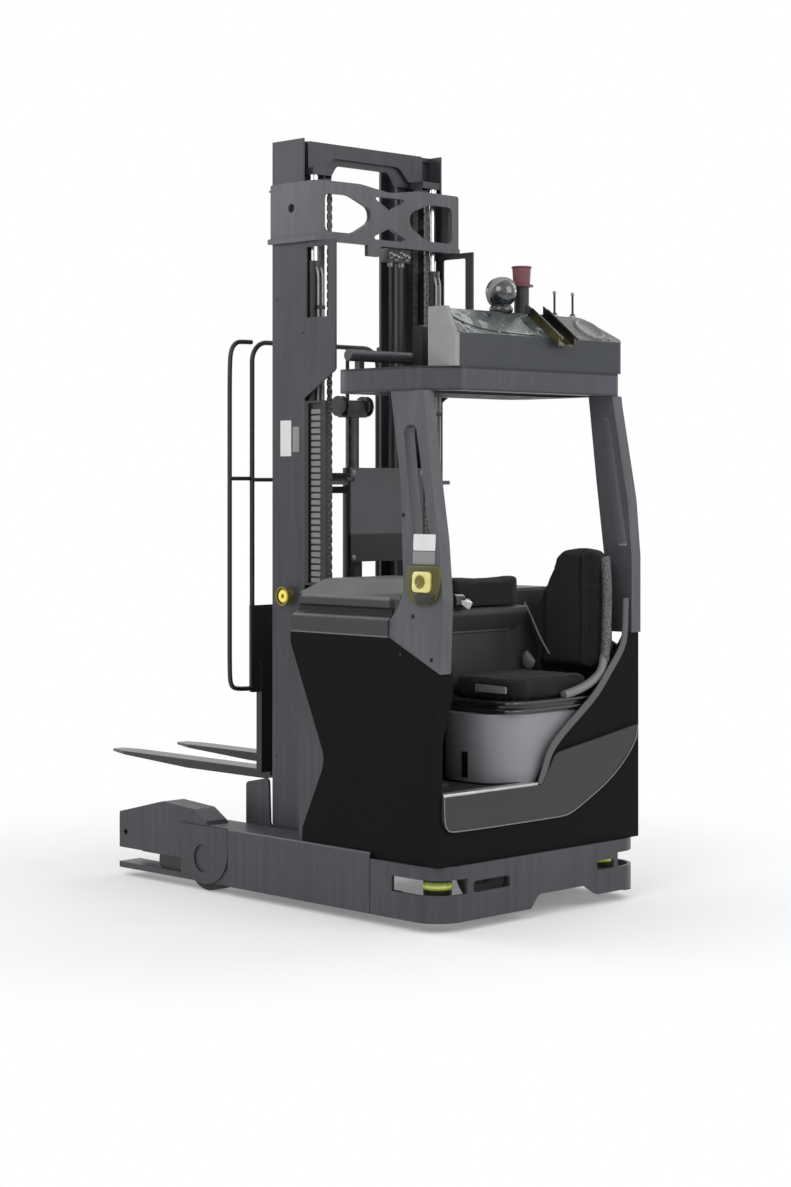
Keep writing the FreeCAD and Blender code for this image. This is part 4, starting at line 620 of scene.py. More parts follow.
def padded_from(node, name, shrink, most):
    """A cushion blown up like foam from a copy of the node's solid, shrunk first, by at most so much."""
    mesh = bmesh.new()
    mesh.from_mesh(NODES[node].data)
    bmesh.ops.remove_doubles(mesh, verts=mesh.verts, dist=1e-5)
    low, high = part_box(node)
    middle = (low + high) / 2
    size = high - low
    scale = Vector([(size[i] - 2 * shrink) / size[i] for i in range(3)])
    bmesh.ops.scale(mesh, vec=scale, space=Matrix.Translation(-middle), verts=mesh.verts)
    pad = placed(name, new_mesh(name, mesh))
    remesh = pad.modifiers.new("skin", "REMESH")
    remesh.mode = "VOXEL"
    remesh.voxel_size = FOAM_CELL
    settle(pad)
    before = [v.co.copy() for v in pad.data.vertices]
    cloth = pad.modifiers.new("foam", "CLOTH")
    cloth.settings.use_pressure = True
    cloth.settings.uniform_pressure_force = FOAM_PRESSURE
    cloth.settings.effector_weights.gravity = 0
    cloth.settings.quality = 4
    cloth.point_cache.frame_start, cloth.point_cache.frame_end = 1, FOAM_FRAMES
    for number in range(1, FOAM_FRAMES + 1):
        bpy.context.scene.frame_set(number)
    settle(pad)
    bpy.context.scene.frame_set(1)
    for vertex, start in zip(pad.data.vertices, before):
        shift = vertex.co - start
        if shift.length > most:
            vertex.co = start + shift.normalized() * most
        vertex.co = Vector([min(max(vertex.co[i], low[i]), high[i]) for i in range(3)])
    pad.data.materials.clear()
    pad.data.materials.append(upholstery.material)
    pad.data.shade_smooth()
    return pad


def settle(thing):
    """Applies an object's modifiers to its mesh."""
    graph = bpy.context.evaluated_depsgraph_get()
    shaped = bpy.data.meshes.new_from_object(thing.evaluated_get(graph))
    thing.modifiers.clear()
    thing.data = shaped


# Seat cushions: the seat and its back are foam pads on the pan. Sewn channels cross the cushion and run up
# the back, and the arm rest behind the driver is a longer pad of the same cloth.
def sew(pad, axis, places, depth, width, face, fade=(-1.0, 0.0)):
    """Presses sewn channels into a pad's side that faces the given way. They fade in over two heights."""
    low, high = fade
    for vertex in pad.data.vertices:
        if vertex.normal.dot(face) < 0.45:
            continue
        for place in places:
            off = abs(vertex.co[axis] - place)
            if off < width:
                keep = min(1.0, max(0.0, (vertex.co.z - low) / (high - low)))
                vertex.co -= face * depth * (1 - (off / width) ** 2) * keep


def fit_pad(pad, node):
    """Puts a pad in its node's place."""
    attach(pad, "chassis")
    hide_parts(node)


UP, LEFT = Vector((0, 0, 1)), Vector((0, -1, 0))
cushion = padded_from("seat_cushion", "seat_cushion_pad", shrink=0.008, most=0.02)
sew(cushion, 0, (REAR_X - 0.160, REAR_X - 0.350), 0.006, 0.009, UP)
sew(cushion, 1, (-0.02,), 0.005, 0.008, UP)
fit_pad(cushion, "seat_cushion")
seat_back = padded_from("seat_back", "seat_back_pad", shrink=0.008, most=0.02)
sew(seat_back, 0, (REAR_X - 0.140, REAR_X - 0.345), 0.008, 0.010, LEFT, fade=(1.02, 1.10))
fit_pad(seat_back, "seat_back")
fit_pad(padded_from("arm_pad", "arm_rest_pad", shrink=0.006, most=0.015), "arm_pad")
gloss_black = mottled("gloss_black", (0.003, 0.003, 0.003), (0.016, 0.016, 0.017), 12, detail=7, rough=0.7,
                      polish=(0.12, 0.25), Specular_IOR_Level=0.5, Coat_Weight=0.5, Coat_Roughness=0.12)
gloss_black.dress("seat_frame", "steer_pod")
PAN_LINE = [(0.036, 0.10), (0.036, -0.110), (0.060, -0.172), (0.180, -0.177), (0.330, -0.177), (0.440, -0.172),
            (0.470, -0.110), (0.470, 0.30), (0.470, 0.49), (0.440, 0.502), (0.100, 0.502), (0.036, 0.49)]
rims = [curve_mesh("pan_rim", [at(*spot, z) for spot in PAN_LINE], closed=True, radius=radius)
        for z, radius in ((0.852, 0.009), (0.884, 0.008))]
body_mesh("pan_rims", together(rims), gloss_black)


# Seat trim: a speckled silver moulding runs up the back's rear edge from a bent gray tube beside the pan,
# with a pale height tab on the cushion, a pointed lever and piping along the left bolster.
speckled = mottled("speckled_silver", (0.020, 0.020, 0.021), (0.24, 0.24, 0.245), 170, detail=6, rough=0.8,
                   edge=(0.42, 0.62), polish=(0.35, 0.3), depth=0.0006, metallic=0.3)
bar("back_trim", [(1.266, 0.428, 1.030), (1.270, 0.432, 1.090), (1.272, 0.436, 1.180), (1.272, 0.440, 1.300),
                  (1.270, 0.440, 1.400), (1.262, 0.438, 1.480)], 0.021, speckled)
tube_gray = grained_plastic("pale_tube", (0.20, 0.20, 0.19), roughness=0.4, rub=0.4, specular=0.4)
bar("seat_tube", [(1.262, 0.170, 0.902), (1.268, 0.260, 0.918), (1.270, 0.360, 0.955), (1.268, 0.420, 1.000),
                  (1.266, 0.428, 1.060)], 0.019, tube_gray)
tab = [(at(0.250, -0.1525, 0.925), 0.004), (at(0.076, -0.1525, 0.925), 0.004),
       (at(0.076, -0.1525, 0.953), 0.004), (at(0.250, -0.1525, 0.957), 0.004)]
body_mesh("height_tab", slab(tab, (0, -1, 0), 0.008, 0.002), tube_gray)
knob = bmesh.new()
bmesh.ops.create_uvsphere(knob, u_segments=28, v_segments=16, radius=0.5)
bmesh.ops.transform(knob, matrix=Matrix.Diagonal((0.074, 0.034, 0.082, 1)), verts=knob.verts)
for vert in knob.verts:
    if vert.co.z > 0:
        vert.co.x -= vert.co.z * 0.55
        vert.co.x *= 1 - vert.co.z * 12
bmesh.ops.translate(knob, vec=(0.880, 0.372, 1.018), verts=knob.verts)
body_mesh("lever_knob", knob, tube_gray, smooth=60)
bar("lever_stalk", [(0.880, 0.372, 0.990), (0.888, 0.374, 0.930), (0.890, 0.376, 0.890)], 0.007, gloss_black)
bar("back_piping", [at(d, 0.383, z) for d, z in ((0.468, 1.270), (0.440, 1.235), (0.400, 1.165), (0.360, 1.100),
                                                 (0.318, 1.050))], 0.0045, tube_gray)


# Control arm: a glossy black pod on the arm rest's end carries a faceted silver thumb lever, and the small
# steering wheel stands on its own pod with a turning knob.
silver_lever = mottled("silver_lever", (0.20, 0.20, 0.20), (0.62, 0.62, 0.61), 40, detail=6,
                       polish=(0.18, 0.25), metallic=0.85)
facets = bmesh.new()
bmesh.ops.create_cone(facets, cap_ends=True, segments=5, radius1=0.030, radius2=0.012, depth=0.052)
soften(facets, facets.edges[:], 0.003, 2)
tilt = Matrix.Rotation(math.radians(70), 4, "X")
bmesh.ops.transform(facets, matrix=Matrix.Translation((0.935, -0.098, 1.287)) @ tilt, verts=facets.verts)
body_mesh("thumb_lever", facets, silver_lever, smooth=25)
pod = flat_plate(1, -0.150, (0.846, 0.945), (1.262, 1.330), 0.060, 0.010, (0.02, 0.03, 0.03, 0.02))
body_mesh("control_pod", pod, gloss_black)
wheel_skin = grained_plastic("wheel_grip", (0.012, 0.012, 0.012), roughness=0.5, pebble=1400)
wheel_skin.dress("steering_wheel")
cap = [(0, 0.0165), (0.018, 0.0160), (0.026, 0.0135), (0.0275, 0.0115), (0, 0.0115)]
body_mesh("wheel_cap", turned(cap, at(0.205, -0.465, 1.075)), gloss_black, "steering_wheel")


# Overhead guard: pillars and roof are welded sheet in a lighter satin coat. A black band of painted shade
# parts the roof from the electronics box, a fainter band of painted shade runs lower on the roof frame at
# the pillars' tops, and cap screws hold the pillars' feet.
def roof_painted_shade_bands(coat, shade):
    # Painted shade: a black band where the roof meets the box, and a fainter band at the pillars' tops.
    painted_gap_shade = coat.along(2).band(2.2575, 2.272)
    low_painted_shade = coat.along(2).band(2.160, 2.178)
    return coat.blend((painted_gap_shade + low_painted_shade * 0.7).clamp(), shade, (0.006, 0.006, 0.007))


guard_coat = powder_coat("guard_coat", (0.072, 0.075, 0.083), roughness=0.38, streak=0.35)
guard_coat.dress("pillars", "roof_tube")
roof_coat = powder_coat("roof_coat", (0.042, 0.045, 0.055), roughness=0.42, streak=0.3, extra=roof_painted_shade_bands)
roof_coat.dress("roof_frame")


PILLAR_FOOT, PILLAR_TOP, PILLAR_LEAN = 1.035, 2.170, 0.054


def on_pillar(along_x, z, off=0.0):
    """A place on the left pillar's outer face, which leans in towards the roof."""
    lean = (z - PILLAR_FOOT) / (PILLAR_TOP - PILLAR_FOOT)
    return (along_x, -0.620 + lean * PILLAR_LEAN - off, z)


OUTWARD = Vector((0, -1, -0.0476)).normalized()
screws = [hex_bolt(on_pillar(*spot), OUTWARD, 0.010)
          for spot in ((1.069, 1.665), (1.143, 1.259), (1.085, 1.105), (1.255, 1.090))]
bolted("pillar_screws", screws, "chassis", scanner_skin)


# Pillar lamp: a square amber lamp with a round core in a dark olive shield low on the left pillar, with a
# black tongue below it and a blank white and a blank gray plate above.
def lens_finish(name, deep, bright, glow):
    """A tinted lens that glows a little."""
    glass = Finish(name, roughness=0.12, Specular_IOR_Level=0.5, Coat_Weight=0.6, Coat_Roughness=0.05,
                   Emission_Strength=glow)
    shade = glass.blend(glass.noise(26), deep, bright)
    glass.feed("Base Color", shade)
    glass.feed("Emission Color", shade)
    return glass


LAMP = (1.203, 1.398)
olive = grained_plastic("olive_shield", (0.075, 0.070, 0.008), roughness=0.3, rub=0.6, specular=0.5)
pale_amber = lens_finish("pale_amber", (0.52, 0.46, 0.10), (0.85, 0.80, 0.36), 0.15)
dark_amber = lens_finish("dark_amber", (0.09, 0.06, 0.004), (0.28, 0.20, 0.012), 0.02)


def around_lamp(points, off=0.0):
    return [(on_pillar(LAMP[0] + u, LAMP[1] + v, off), r) for u, v, r in points]


shield_shape = around_lamp([(-0.092, 0.066, 0.008), (-0.094, -0.030, 0.03), (-0.062, -0.094, 0.04),
                            (0.062, -0.094, 0.04), (0.094, -0.030, 0.03), (0.092, 0.066, 0.008)])
body_mesh("lamp_shield", slab(shield_shape, OUTWARD, 0.014, 0.005), olive)
ring_shape = around_lamp([(-0.048, 0.043, 0.018), (-0.048, -0.040, 0.018), (0.052, -0.040, 0.018),
                          (0.052, 0.043, 0.018)], 0.014)
body_mesh("lamp_lens", slab(ring_shape, OUTWARD, 0.012, 0.006), pale_amber)
core = turned([(0, 0), (0.027, 0), (0.027, 0.004), (0.021, 0.006), (0.018, 0.003), (0.011, 0.003),
               (0.008, 0.007), (0, 0.008)], on_pillar(LAMP[0], LAMP[1] + 0.002, 0.026), OUTWARD)
body_mesh("lamp_core", core, dark_amber)
tongue_shape = around_lamp([(-0.035, -0.048, 0.006), (-0.030, -0.092, 0.02), (0.062, -0.084, 0.02),
                            (0.078, -0.048, 0.006)], 0.0142)
body_mesh("lamp_tongue", slab(tongue_shape, OUTWARD, 0.006, 0.003), scanner_skin)
bright_plate = grained_plastic("white_plate", (0.78, 0.78, 0.78), roughness=0.4, pebble=300, rub=0.3)
dull_plate = grained_plastic("gray_plate", (0.27, 0.27, 0.27), roughness=0.45, pebble=200, rub=0.6)
for name, low, high, finish in (("label_white", 1.524, 1.590, bright_plate),
                                ("label_gray", 1.469, 1.521, dull_plate)):
    corners = [(on_pillar(x, z), 0.005) for x, z in ((1.134, low), (1.134, high), (1.258, high), (1.258, low))]
    body_mesh(name, slab(corners, OUTWARD, 0.0015, 0.0006), finish)


# Roof box: a painted steel housing. Its end plate is painted paler as painted light on that lit face, the
# near half of its sloping top is covered in glossy film with painted glints and painted reflections, and the
# far half is matt and speckled with a shallow round dish and a row of screws.
box_coat = Finish("box_coat", roughness=0.4, Specular_IOR_Level=0.35)
across, up = box_coat.along(1), box_coat.along(2)
on_slope = up.step(2.402, 2.408)
painted_light_end_plate = across.step(-0.444, -0.448)
glossy = on_slope * across.band(-0.446, 0.150, 0.004)
matt = on_slope * across.step(0.190, 0.215)
haze = box_coat.noise(7, detail=6, rough=0.6, distortion=1.2)
# Bright glints and darker patches in the film's colour are painted reflections on the gloss.
painted_glints = haze.step(0.52, 0.62)
speckles = box_coat.noise(260, detail=5, rough=0.8)
base_shade = box_coat.blend(haze, (0.026, 0.030, 0.035), (0.044, 0.048, 0.055))
film = box_coat.blend(painted_glints, (0.085, 0.095, 0.095), (0.34, 0.36, 0.37))
film = box_coat.blend(box_coat.noise(15, detail=3).step(0.6, 0.66), film, (0.03, 0.034, 0.042))
base_shade = box_coat.blend(glossy, base_shade, film)
base_shade = box_coat.blend(matt, base_shade, box_coat.blend(speckles.step(0.40, 0.60), (0.06, 0.06, 0.062),
                                                             (0.25, 0.25, 0.255)))
# The end plate's pale gray is painted light on the face the lamps catch.
base_shade = box_coat.blend(painted_light_end_plate, base_shade, box_coat.blend(haze, (0.23, 0.23, 0.23),
                                                                  (0.33, 0.335, 0.335)))
box_coat.feed("Base Color", base_shade)
box_coat.feed("Roughness", (glossy * -0.26 + matt * 0.2 + 0.42).clamp())
box_coat.bump(speckles * matt + haze * glossy * 6, 0.0006)
box_coat.dress("roof_box")
SLOPE = Vector((0.615, 0, 0.788))


def on_slope_at(d, y, off=0.0):
    """A place on the box's sloping top."""
    return Vector((REAR_X - d, y, 2.403 + (d - 0.064) * 0.780)) + SLOPE * off


dish_steel = Finish("dish_steel", roughness=0.5, metallic=0.2)
dish_grit = dish_steel.noise(240, detail=5, rough=0.8)
dish_steel.feed("Base Color", dish_steel.blend(dish_grit.step(0.4, 0.65), (0.07, 0.071, 0.074),
                                               (0.30, 0.30, 0.305)))
dish_steel.bump(dish_grit, 0.0005)
dish = turned([(0, 0.0012), (0.048, 0.0012), (0.054, 0.004), (0.060, 0.0095), (0.068, 0.0100), (0.074, 0.005),
               (0.075, -0.001)], on_slope_at(0.130, 0.425), SLOPE, steps=48)
body_mesh("slope_dish", dish, dish_steel)
box_screws = [hex_bolt(on_slope_at(0.078, y), SLOPE, 0.010)
              for y in (-0.400, -0.200, 0.020, 0.300, 0.400, 0.500)]
bolted("box_screws", box_screws, "chassis")
FILM_EDGE = ((0.196, -0.430), (0.150, -0.400), (0.100, -0.330), (0.076, -0.180), (0.070, 0.050))
bar("film_bead", [on_slope_at(*spot, 0.001) for spot in FILM_EDGE], 0.003, scanner_skin)


# Slope rail: an open steel channel in olive-black gloss down the box's slope, with rolled lips.
rail_gloss = Finish("rail_gloss", roughness=0.2, metallic=0.5, Coat_Weight=0.4, Coat_Roughness=0.1)
rail_tone = rail_gloss.noise(12, detail=6, at=rail_gloss.stretched((0.4, 3, 0.4)))
rail_gloss.feed("Base Color", rail_gloss.blend(rail_tone.step(0.40, 0.65), (0.010, 0.010, 0.008),
                                               (0.11, 0.10, 0.035)))
rail_gloss.feed("Roughness", (0.12 + rail_tone * 0.25).clamp())
rail_gloss.dress("slope_rail")
lips = [curve_mesh("rail_lip", [on_slope_at(d, y, 0.0345) for d in (0.022, 0.080, 0.140, 0.194)], radius=0.0055)
        for y in (0.111, 0.208)]
body_mesh("rail_lips", together(lips), rail_gloss)


# Dome camera, beacon and aerials: a smoked glossy dome with painted glints in its colour and a gray bezel
# on a black collar, a matt red beacon with a ribbed lens, and two thin whip aerials in rubber sockets.
dome_lens = Finish("smoked_dome", roughness=0.06, Specular_IOR_Level=0.8, Coat_Weight=0.8, Coat_Roughness=0.03)
swirl_and_painted_glints = dome_lens.noise(22, detail=5, distortion=1.5)
# Paler swirls in the dome's colour are painted glints.
dome_lens.feed("Base Color", dome_lens.blend(swirl_and_painted_glints.step(0.45, 0.62), (0.004, 0.005, 0.008),
                                             (0.030, 0.038, 0.050)))
dome_lens.bump(swirl_and_painted_glints, 0.0025, 0.5)
dome_lens.dress("dome_camera")
DOME = Vector(at(0.235, -0.016, 2.598))
bezel_axis = Vector((0.86, -0.19, -0.46)).normalized()
bezel = turned([(0.0645, -0.004), (0.0690, -0.004), (0.0700, 0.006), (0.0670, 0.016), (0.0620, 0.019),
                (0.0610, 0.016), (0.0645, -0.004)], DOME, bezel_axis, steps=56)
body_mesh("dome_bezel", bezel, dull_plate)
collar = [(0.036, -0.085), (0.047, -0.085), (0.050, -0.080), (0.050, -0.066), (0.045, -0.060), (0.040, -0.052),
          (0.036, -0.052)]
body_mesh("dome_collar", turned(collar, DOME), gloss_black)
beacon_red = mottled("beacon_red", (0.13, 0.040, 0.046), (0.22, 0.085, 0.095), 18, roughness=0.5,
                     Specular_IOR_Level=0.4)
beacon_red.bump(beacon_red.wave("Z", 60.0), 0.001)
beacon_red.dress("beacon")


def red_top(skin, shade):
    return skin.blend(skin.along(2).step(2.624, 2.629), shade, (0.15, 0.045, 0.050))


post_skin = grained_plastic("post_black", (0.040, 0.042, 0.046), roughness=0.4, extra=red_top)
post_skin.dress("roof_posts")
BEACON = at(0.235, 0.112, 0)
rim = [(0.0395, 2.706), (0.0430, 2.708), (0.0435, 2.714), (0.0400, 2.7155), (0, 2.7155), (0, 2.706),
       (0.0395, 2.706)]
body_mesh("beacon_cap", turned(rim, BEACON), beacon_red)
sockets = []
for y in (0.322, 0.440):
    sockets.append(turned([(0, 2.611), (0.0075, 2.611), (0.0085, 2.616), (0.0075, 2.6205), (0, 2.6215)],
                          at(0.235, y, 0), steps=20))
    sockets.append(turned([(0.011, 2.513), (0.017, 2.513), (0.015, 2.521), (0.011, 2.523)], at(0.235, y, 0),
                          steps=24))
body_mesh("aerial_ends", together(sockets), zinc)


# Roof tube fittings: a reddish clamp with two screws holds the tube near the box, beside a black and dark
# red relay block that is bolted to the roof.
ROOF_TOP = 2.2685
rust_red = grained_plastic("clamp_red", (0.13, 0.045, 0.045), roughness=0.5, rub=0.9)
clamp = turned([(0.0255, -0.020), (0.0315, -0.018), (0.0330, 0), (0.0315, 0.018), (0.0255, 0.020)],
               (0.645, -0.062, 2.332), (0, 1, 0), steps=36)
foot = slab([((x, -0.080, z), 0.006) for x, z in ((0.620, ROOF_TOP), (0.670, ROOF_TOP), (0.662, 2.325),
                                                  (0.628, 2.325))], (0, 1, 0), 0.036, 0.003)
body_mesh("tube_clamp", together([clamp, foot]), rust_red)
BLOCK_CORNERS = (0.006, 0.006, 0.010, 0.010)
relay = flat_plate(1, -0.170, (0.760, 0.700), (ROOF_TOP, 2.470), 0.075, 0.004, BLOCK_CORNERS)
body_mesh("relay_block", relay, scanner_skin)
cap = flat_plate(1, -0.0945, (0.757, 0.703), (2.280, 2.462), 0.022, 0.003, BLOCK_CORNERS)
body_mesh("relay_cap", cap, rust_red)


# Mast cylinders: black painted barrels with hard-chromed rods, a little oily, and bright steel pipes that
# run up behind them in clips.
black_coat = powder_coat("black_coat", (0.016, 0.016, 0.017), roughness=0.38, streak=0.25)
black_coat.dress("lift_cylinders", "free_cylinder", "reach_cylinders", "chain_trough")
chrome = mottled("hard_chrome", (0.42, 0.42, 0.43), (0.66, 0.66, 0.67), 9, stretch=(9, 9, 0.8),
                 polish=(0.1, 0.16), metallic=1.0)
chrome.dress("lift_rods")
PIPE_D = 0.981
pipes, clips = [], []
for side in (-1, 1):
    for y in (0.352, 0.377):
        run = [at(PIPE_D, side * y, z) for z in (0.215, 1.0, 2.0, 2.66, 2.71)]
        pipes.append(curve_mesh("pipe", run + [at(PIPE_D + 0.011, side * y, 2.73)], radius=0.0055))
    for z in (0.60, 1.10, 1.60, 2.10, 2.55):
        clips.append(flat_plate(0, REAR_X - 0.9735, (side * 0.341, side * 0.388), (z, z + 0.016), -0.016,
                                0.002))
body_mesh("mast_pipes", together(pipes), zinc, "reach")
body_mesh("pipe_clips", together(clips), scanner_skin, "reach")


# Lift chains: leaf chains of dark oiled plates and pins run over a grooved pulley under each side of the
# middle stage's head. The pulleys turn on pins between two hanger plates.
chain_steel = mottled("oiled_chain", (0.05, 0.048, 0.045), (0.26, 0.255, 0.25), 90, polish=(0.25, 0.3),
                      metallic=0.9)
PITCH = 0.01905
link = bmesh.new()
for i, offsets in enumerate(((-0.0105, -0.0035, 0.0035, 0.0105), (-0.0070, 0.0, 0.0070))):
    for offset in offsets:
        plate = bmesh.ops.create_cube(link, size=1)["verts"]
        bmesh.ops.scale(link, vec=(0.0100, 0.0032, PITCH * 1.42), verts=plate)
        bmesh.ops.translate(link, vec=(0, offset, PITCH * i), verts=plate)
    pin = bmesh.ops.create_cone(link, cap_ends=True, segments=8, radius1=0.0030, radius2=0.0030,
                                depth=0.0265)["verts"]
    bmesh.ops.rotate(link, cent=(0, 0, 0), matrix=Matrix.Rotation(math.radians(90), 3, "X"), verts=pin)
    bmesh.ops.translate(link, vec=(0, 0, PITCH * (i - 0.5)), verts=pin)
ends = [e for e in link.edges if abs(e.verts[0].co.y - e.verts[1].co.y) > 0.002 and len(e.link_faces) == 2
        and all(len(f.verts) == 4 for f in e.link_faces) and abs(e.verts[0].co.x) > 0.004]
soften(link, ends, 0.0035, 2)
link_data = new_mesh("link", link)
CHAIN_TOP, CHAIN_FOOT, CHAIN_Y, PULLEY_D = 3.098, 0.300, 0.300, 1.027
HANGER = ((1.000, 3.137, 0), (1.054, 3.137, 0), (1.045, 3.078, 0.014), (1.009, 3.078, 0.014))
for side, name in SIDES:
    strand = bmesh.new()
    for x in (REAR_X - PULLEY_D + 0.036, REAR_X - PULLEY_D - 0.036):
        for i in range(int((CHAIN_TOP - CHAIN_FOOT) / (2 * PITCH))):
            start = len(strand.verts)
            strand.from_mesh(link_data)
            strand.verts.ensure_lookup_table()
            bmesh.ops.translate(strand, vec=(x, side * CHAIN_Y, CHAIN_TOP - 2 * PITCH * (i + 0.75)),
                                verts=strand.verts[start:])
    body_mesh("lift_chain_" + name, strand, chain_steel, "middle", smooth=30)
    groove = [(0, -0.018), (0.035, -0.018), (0.036, -0.016), (0.036, -0.0140), (0.031, -0.0125),
              (0.031, 0.0125), (0.036, 0.0140), (0.036, 0.016), (0.035, 0.018), (0, 0.018)]
    body_mesh("chain_pulley_" + name, turned(groove, at(PULLEY_D, side * CHAIN_Y, CHAIN_TOP), (0, 1, 0),
                                             steps=40), cast, "middle")
    hangers = [slab([(at(d, side * y, z), radius) for d, z, radius in HANGER], (0, side, 0), 0.0035, 0.001)
               for y in (0.2780, 0.3185)]
    hangers.append(hex_bolt(at(PULLEY_D, side * 0.2782, CHAIN_TOP), (0, -side, 0), 0.014))
    body_mesh("pulley_hangers_" + name, together(hangers), frame_coat, "middle", smooth=30)


# Head fittings: under the crosshead a black manifold with plated fittings feeds two pipes that run down
# behind the hose cover. The cover itself is a gray sheet held by four screws, with a black latch.
def dark_foot(coat, shade):
    foot = coat.along(2).step(1.574, 1.570)
    return coat.blend(foot, shade, (0.006, 0.006, 0.007))


cover_coat = powder_coat("cover_coat", (0.060, 0.064, 0.070), roughness=0.45, streak=0.15, extra=dark_foot)
cover_coat.dress("mast_ties")
brace_coat = powder_coat("brace_coat", (0.085, 0.088, 0.096), roughness=0.42, streak=0.4)
brace_coat.dress("mast_brace")
manifold = flat_plate(0, REAR_X - 0.944, (0.010, 0.150), (2.778, 2.8385), -0.045, 0.003, [0.004] * 4)
body_mesh("valve_block", manifold, scanner_skin, "reach")
fittings = []
for y, z in ((0.030, 2.808), (0.062, 2.800), (0.094, 2.812), (0.128, 2.802)):
    fittings.append(hex_bolt(at(0.9438, y, z), (1, 0, 0), 0.015))
    fittings.append(turned([(0.0045, 0), (0.0075, 0.001), (0.0075, 0.010), (0.0050, 0.013), (0.0, 0.014)],
                           at(0.9370, y, z), (1, 0, 0), steps=16))
for y in (0.045, 0.115):
    fittings.append(turned([(0.0, 0.001), (0.012, 0.001), (0.012, -0.012), (0.009, -0.020), (0, -0.020)],
                           at(0.966, y, 2.778), steps=16))
bolted("head_fittings", fittings, "reach")
FEED_LINE = ((0.966, 0, 2.765), (0.966, 0, 2.60), (0.968, 0.004, 2.3), (0.968, 0, 2.0), (0.968, 0, 1.815))
feeds = [curve_mesh("feed", [at(d, y + aside, z) for d, aside, z in FEED_LINE], radius=0.0055)
         for y in (0.045, 0.115)]
body_mesh("feed_pipes", together(feeds), scanner_skin, "reach")
cover_screws = [hex_bolt(at(0.9458, y, z), (1, 0, 0), 0.011) for y in (-0.198, 0.218) for z in (1.470, 1.842)]
bolted("hose_cover_screws", cover_screws, "reach")
latch = flat_plate(0, REAR_X - 0.946, (-0.243, -0.200), (1.802, 1.820), 0.010, 0.003,
                   (0.004, 0.002, 0.002, 0.004))
body_mesh("cover_latch", latch, gloss_black, "reach")


# Energy chain: light gray nylon links stand in a black trough. Each link is finely combed, darker
# between its ribs, and mottled with dirt.
link_skin = Finish("chain_plastic", roughness=0.5, Specular_IOR_Level=0.35)
link_dirt = link_skin.noise(60, detail=5)
combs = link_skin.wave("X", 60.0)
link_skin.feed("Base Color", link_skin.blend((link_dirt * 0.6 + combs * 0.4).clamp(), (0.13, 0.135, 0.14),
                                             (0.34, 0.35, 0.36)))
link_skin.bump(combs + link_dirt * 0.4, 0.0012)
link_skin.dress("energy_chain")


# Mast lamp and plates: a round lamp in a ribbed olive-gold housing under the trough, with a bright yellow
# ring round an orange core, and two blank plates riveted to the mast's side.
lamp_skin = Finish("mast_lamp", roughness=0.2, Specular_IOR_Level=0.5, Coat_Weight=0.4, Coat_Roughness=0.08,
                   Emission_Strength=0.2)
flat = lamp_skin.wire.make("Mapping", None, {0: lamp_skin.place, 1: (-0.193, 0, -1.303), 3: (1, 0, 1)})
radius = lamp_skin.wire.make("VectorMath", {"operation": "LENGTH"}, {0: flat}, out=1)
ribs = lamp_skin.wave("Y", 90.0)
shade = lamp_skin.blend(ribs, (0.060, 0.050, 0.006), (0.22, 0.18, 0.02))
ring = radius.band(0.0105, 0.0275, 0.0015)
shade = lamp_skin.blend(ring, shade, (0.90, 0.78, 0.10))
shade = lamp_skin.blend(radius.step(0.0115, 0.0095), shade, (0.34, 0.13, 0.015))
lamp_skin.feed("Base Color", shade)
lamp_skin.feed("Emission Color", lamp_skin.blend(ring, (0, 0, 0), (0.9, 0.78, 0.1)))
lamp_skin.bump(ribs, 0.001)
lamp_skin.dress("mast_lamp")
MAST_SIDE = 0.428
for name, d0, d1, z0, z1, finish in (("mast_label", 1.098, 1.168, 1.912, 2.068, bright_plate),
                                     ("mast_label_dark", 1.046, 1.088, 1.930, 2.040, dull_plate)):
    label = flat_plate(1, -MAST_SIDE, (REAR_X - d0, REAR_X - d1), (z0, z1), -0.0014, 0.0005, [0.004] * 4)
    body_mesh(name, label, finish, "reach")
rivets = []
for side in (-1, 1):
    for d, z in ((1.030, 0.42), (1.030, 1.05), (1.030, 2.45), (1.200, 0.60), (1.200, 2.60)):
        rivets.append(turned([(0, 0.0042), (0.004, 0.0036), (0.0072, 0.0015), (0.0080, 0), (0, 0)],
                             at(d, side * MAST_SIDE, z), (0, side, 0), steps=16))
body_mesh("mast_rivets", together(rivets), frame_coat, "reach")


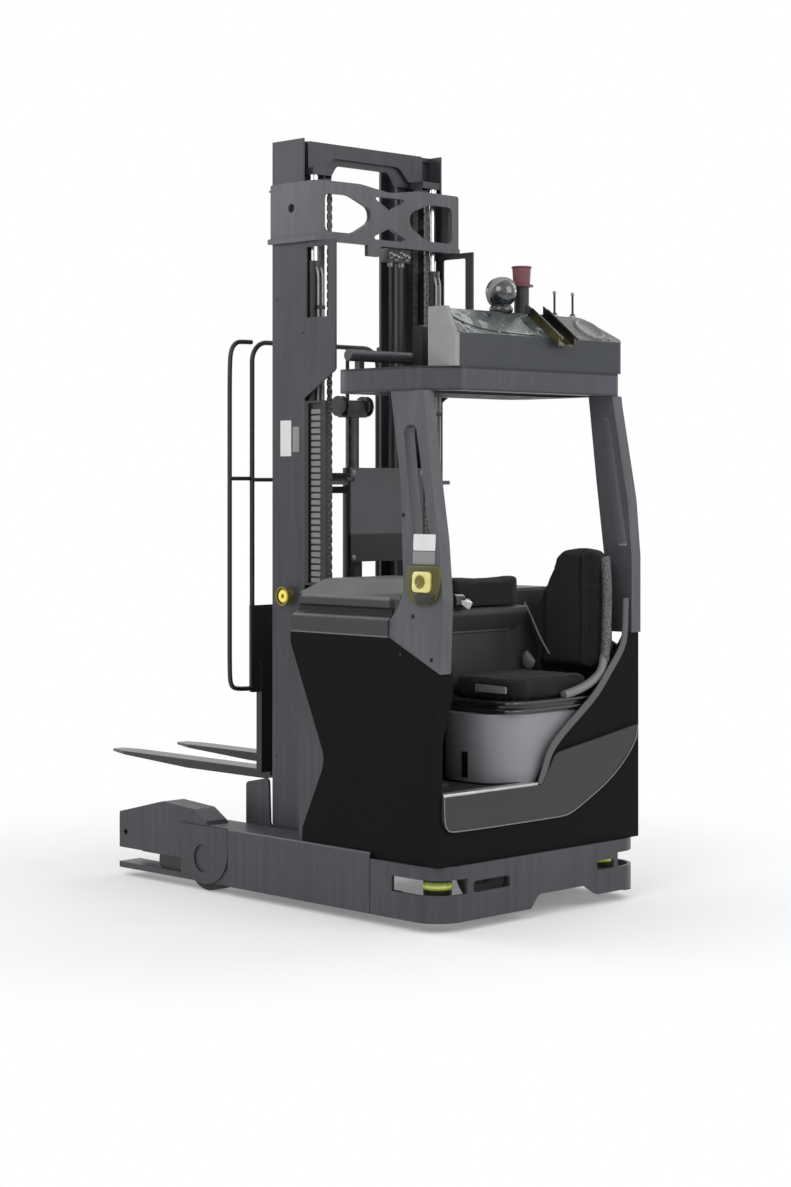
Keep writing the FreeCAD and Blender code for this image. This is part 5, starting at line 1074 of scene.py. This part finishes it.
# Fork carriage and forks: black painted plate with zinc-plated bolts. The forks' blades are rubbed to
# dull bare steel along their top faces and tips, and the backrest is welded round bar with a bent side bar.
black_coat.dress("fork_carriage", "shift_frame", "tilt_frame", "backrest")
dark_cast = mottled("free_lift_steel", (0.03, 0.03, 0.032), (0.12, 0.12, 0.125), 30, polish=(0.2, 0.25),
                    metallic=0.7)
dark_cast.dress("free_head")


def bare_blade(coat, shade):
    rub = coat.noise(9, detail=7, rough=0.65, at=coat.stretched((0.5, 3, 1)))
    top = coat.along(2).step(0.4965, 0.4990)
    tip = coat.along(0).step(-1.16, -1.29)
    return coat.blend(((top * 0.5 + tip * 0.5) * rub * 1.6).clamp(), shade, (0.17, 0.165, 0.16))


fork_coat = powder_coat("fork_coat", (0.018, 0.018, 0.019), roughness=0.36, streak=0.2, extra=bare_blade)
fork_coat.dress("forks")
board_bolts = [hex_bolt(at(1.430, side * y, z), (-1, 0, 0), 0.018) for side in (-1, 1)
               for y, z in ((0.310, 0.540), (0.310, 0.960), (0.128, 0.540))]
bolted("board_bolts", board_bolts, "fork_board")
plate_bolts = [hex_bolt(at(1.244, side * 0.340, z), (0, side, 0), 0.014) for side in (-1, 1)
               for z in (0.545, 0.750, 0.955)]
bolted("carriage_bolts", plate_bolts, "carriage")
shift_bolts = [hex_bolt(at(1.290, side * 0.235, z), (-1, 0, 0), 0.016) for side in (-1, 1)
               for z in (0.620, 0.940)]
bolted("shift_bolts", shift_bolts, "shifter")
SIDE_BAR = ((0.392, 2.423), (0.440, 2.423), (0.480, 2.420), (0.510, 2.390), (0.520, 2.330), (0.520, 2.0),
            (0.520, 1.6), (0.520, 1.2), (0.520, 0.960), (0.514, 0.900), (0.480, 0.880), (0.392, 0.880))
CROSS_BAR = ((0.392, 1.815), (0.43, 1.815), (0.48, 1.815), (0.520, 1.815))
BACKREST_D = 1.403
outer_bars = [curve_mesh("bar", [at(BACKREST_D, side * y, z) for y, z in line], radius=radius)
              for side in (-1, 1) for line, radius in ((SIDE_BAR, 0.0105), (CROSS_BAR, 0.009))]
body_mesh("backrest_sides", together(outer_bars), black_coat, "fork_board")
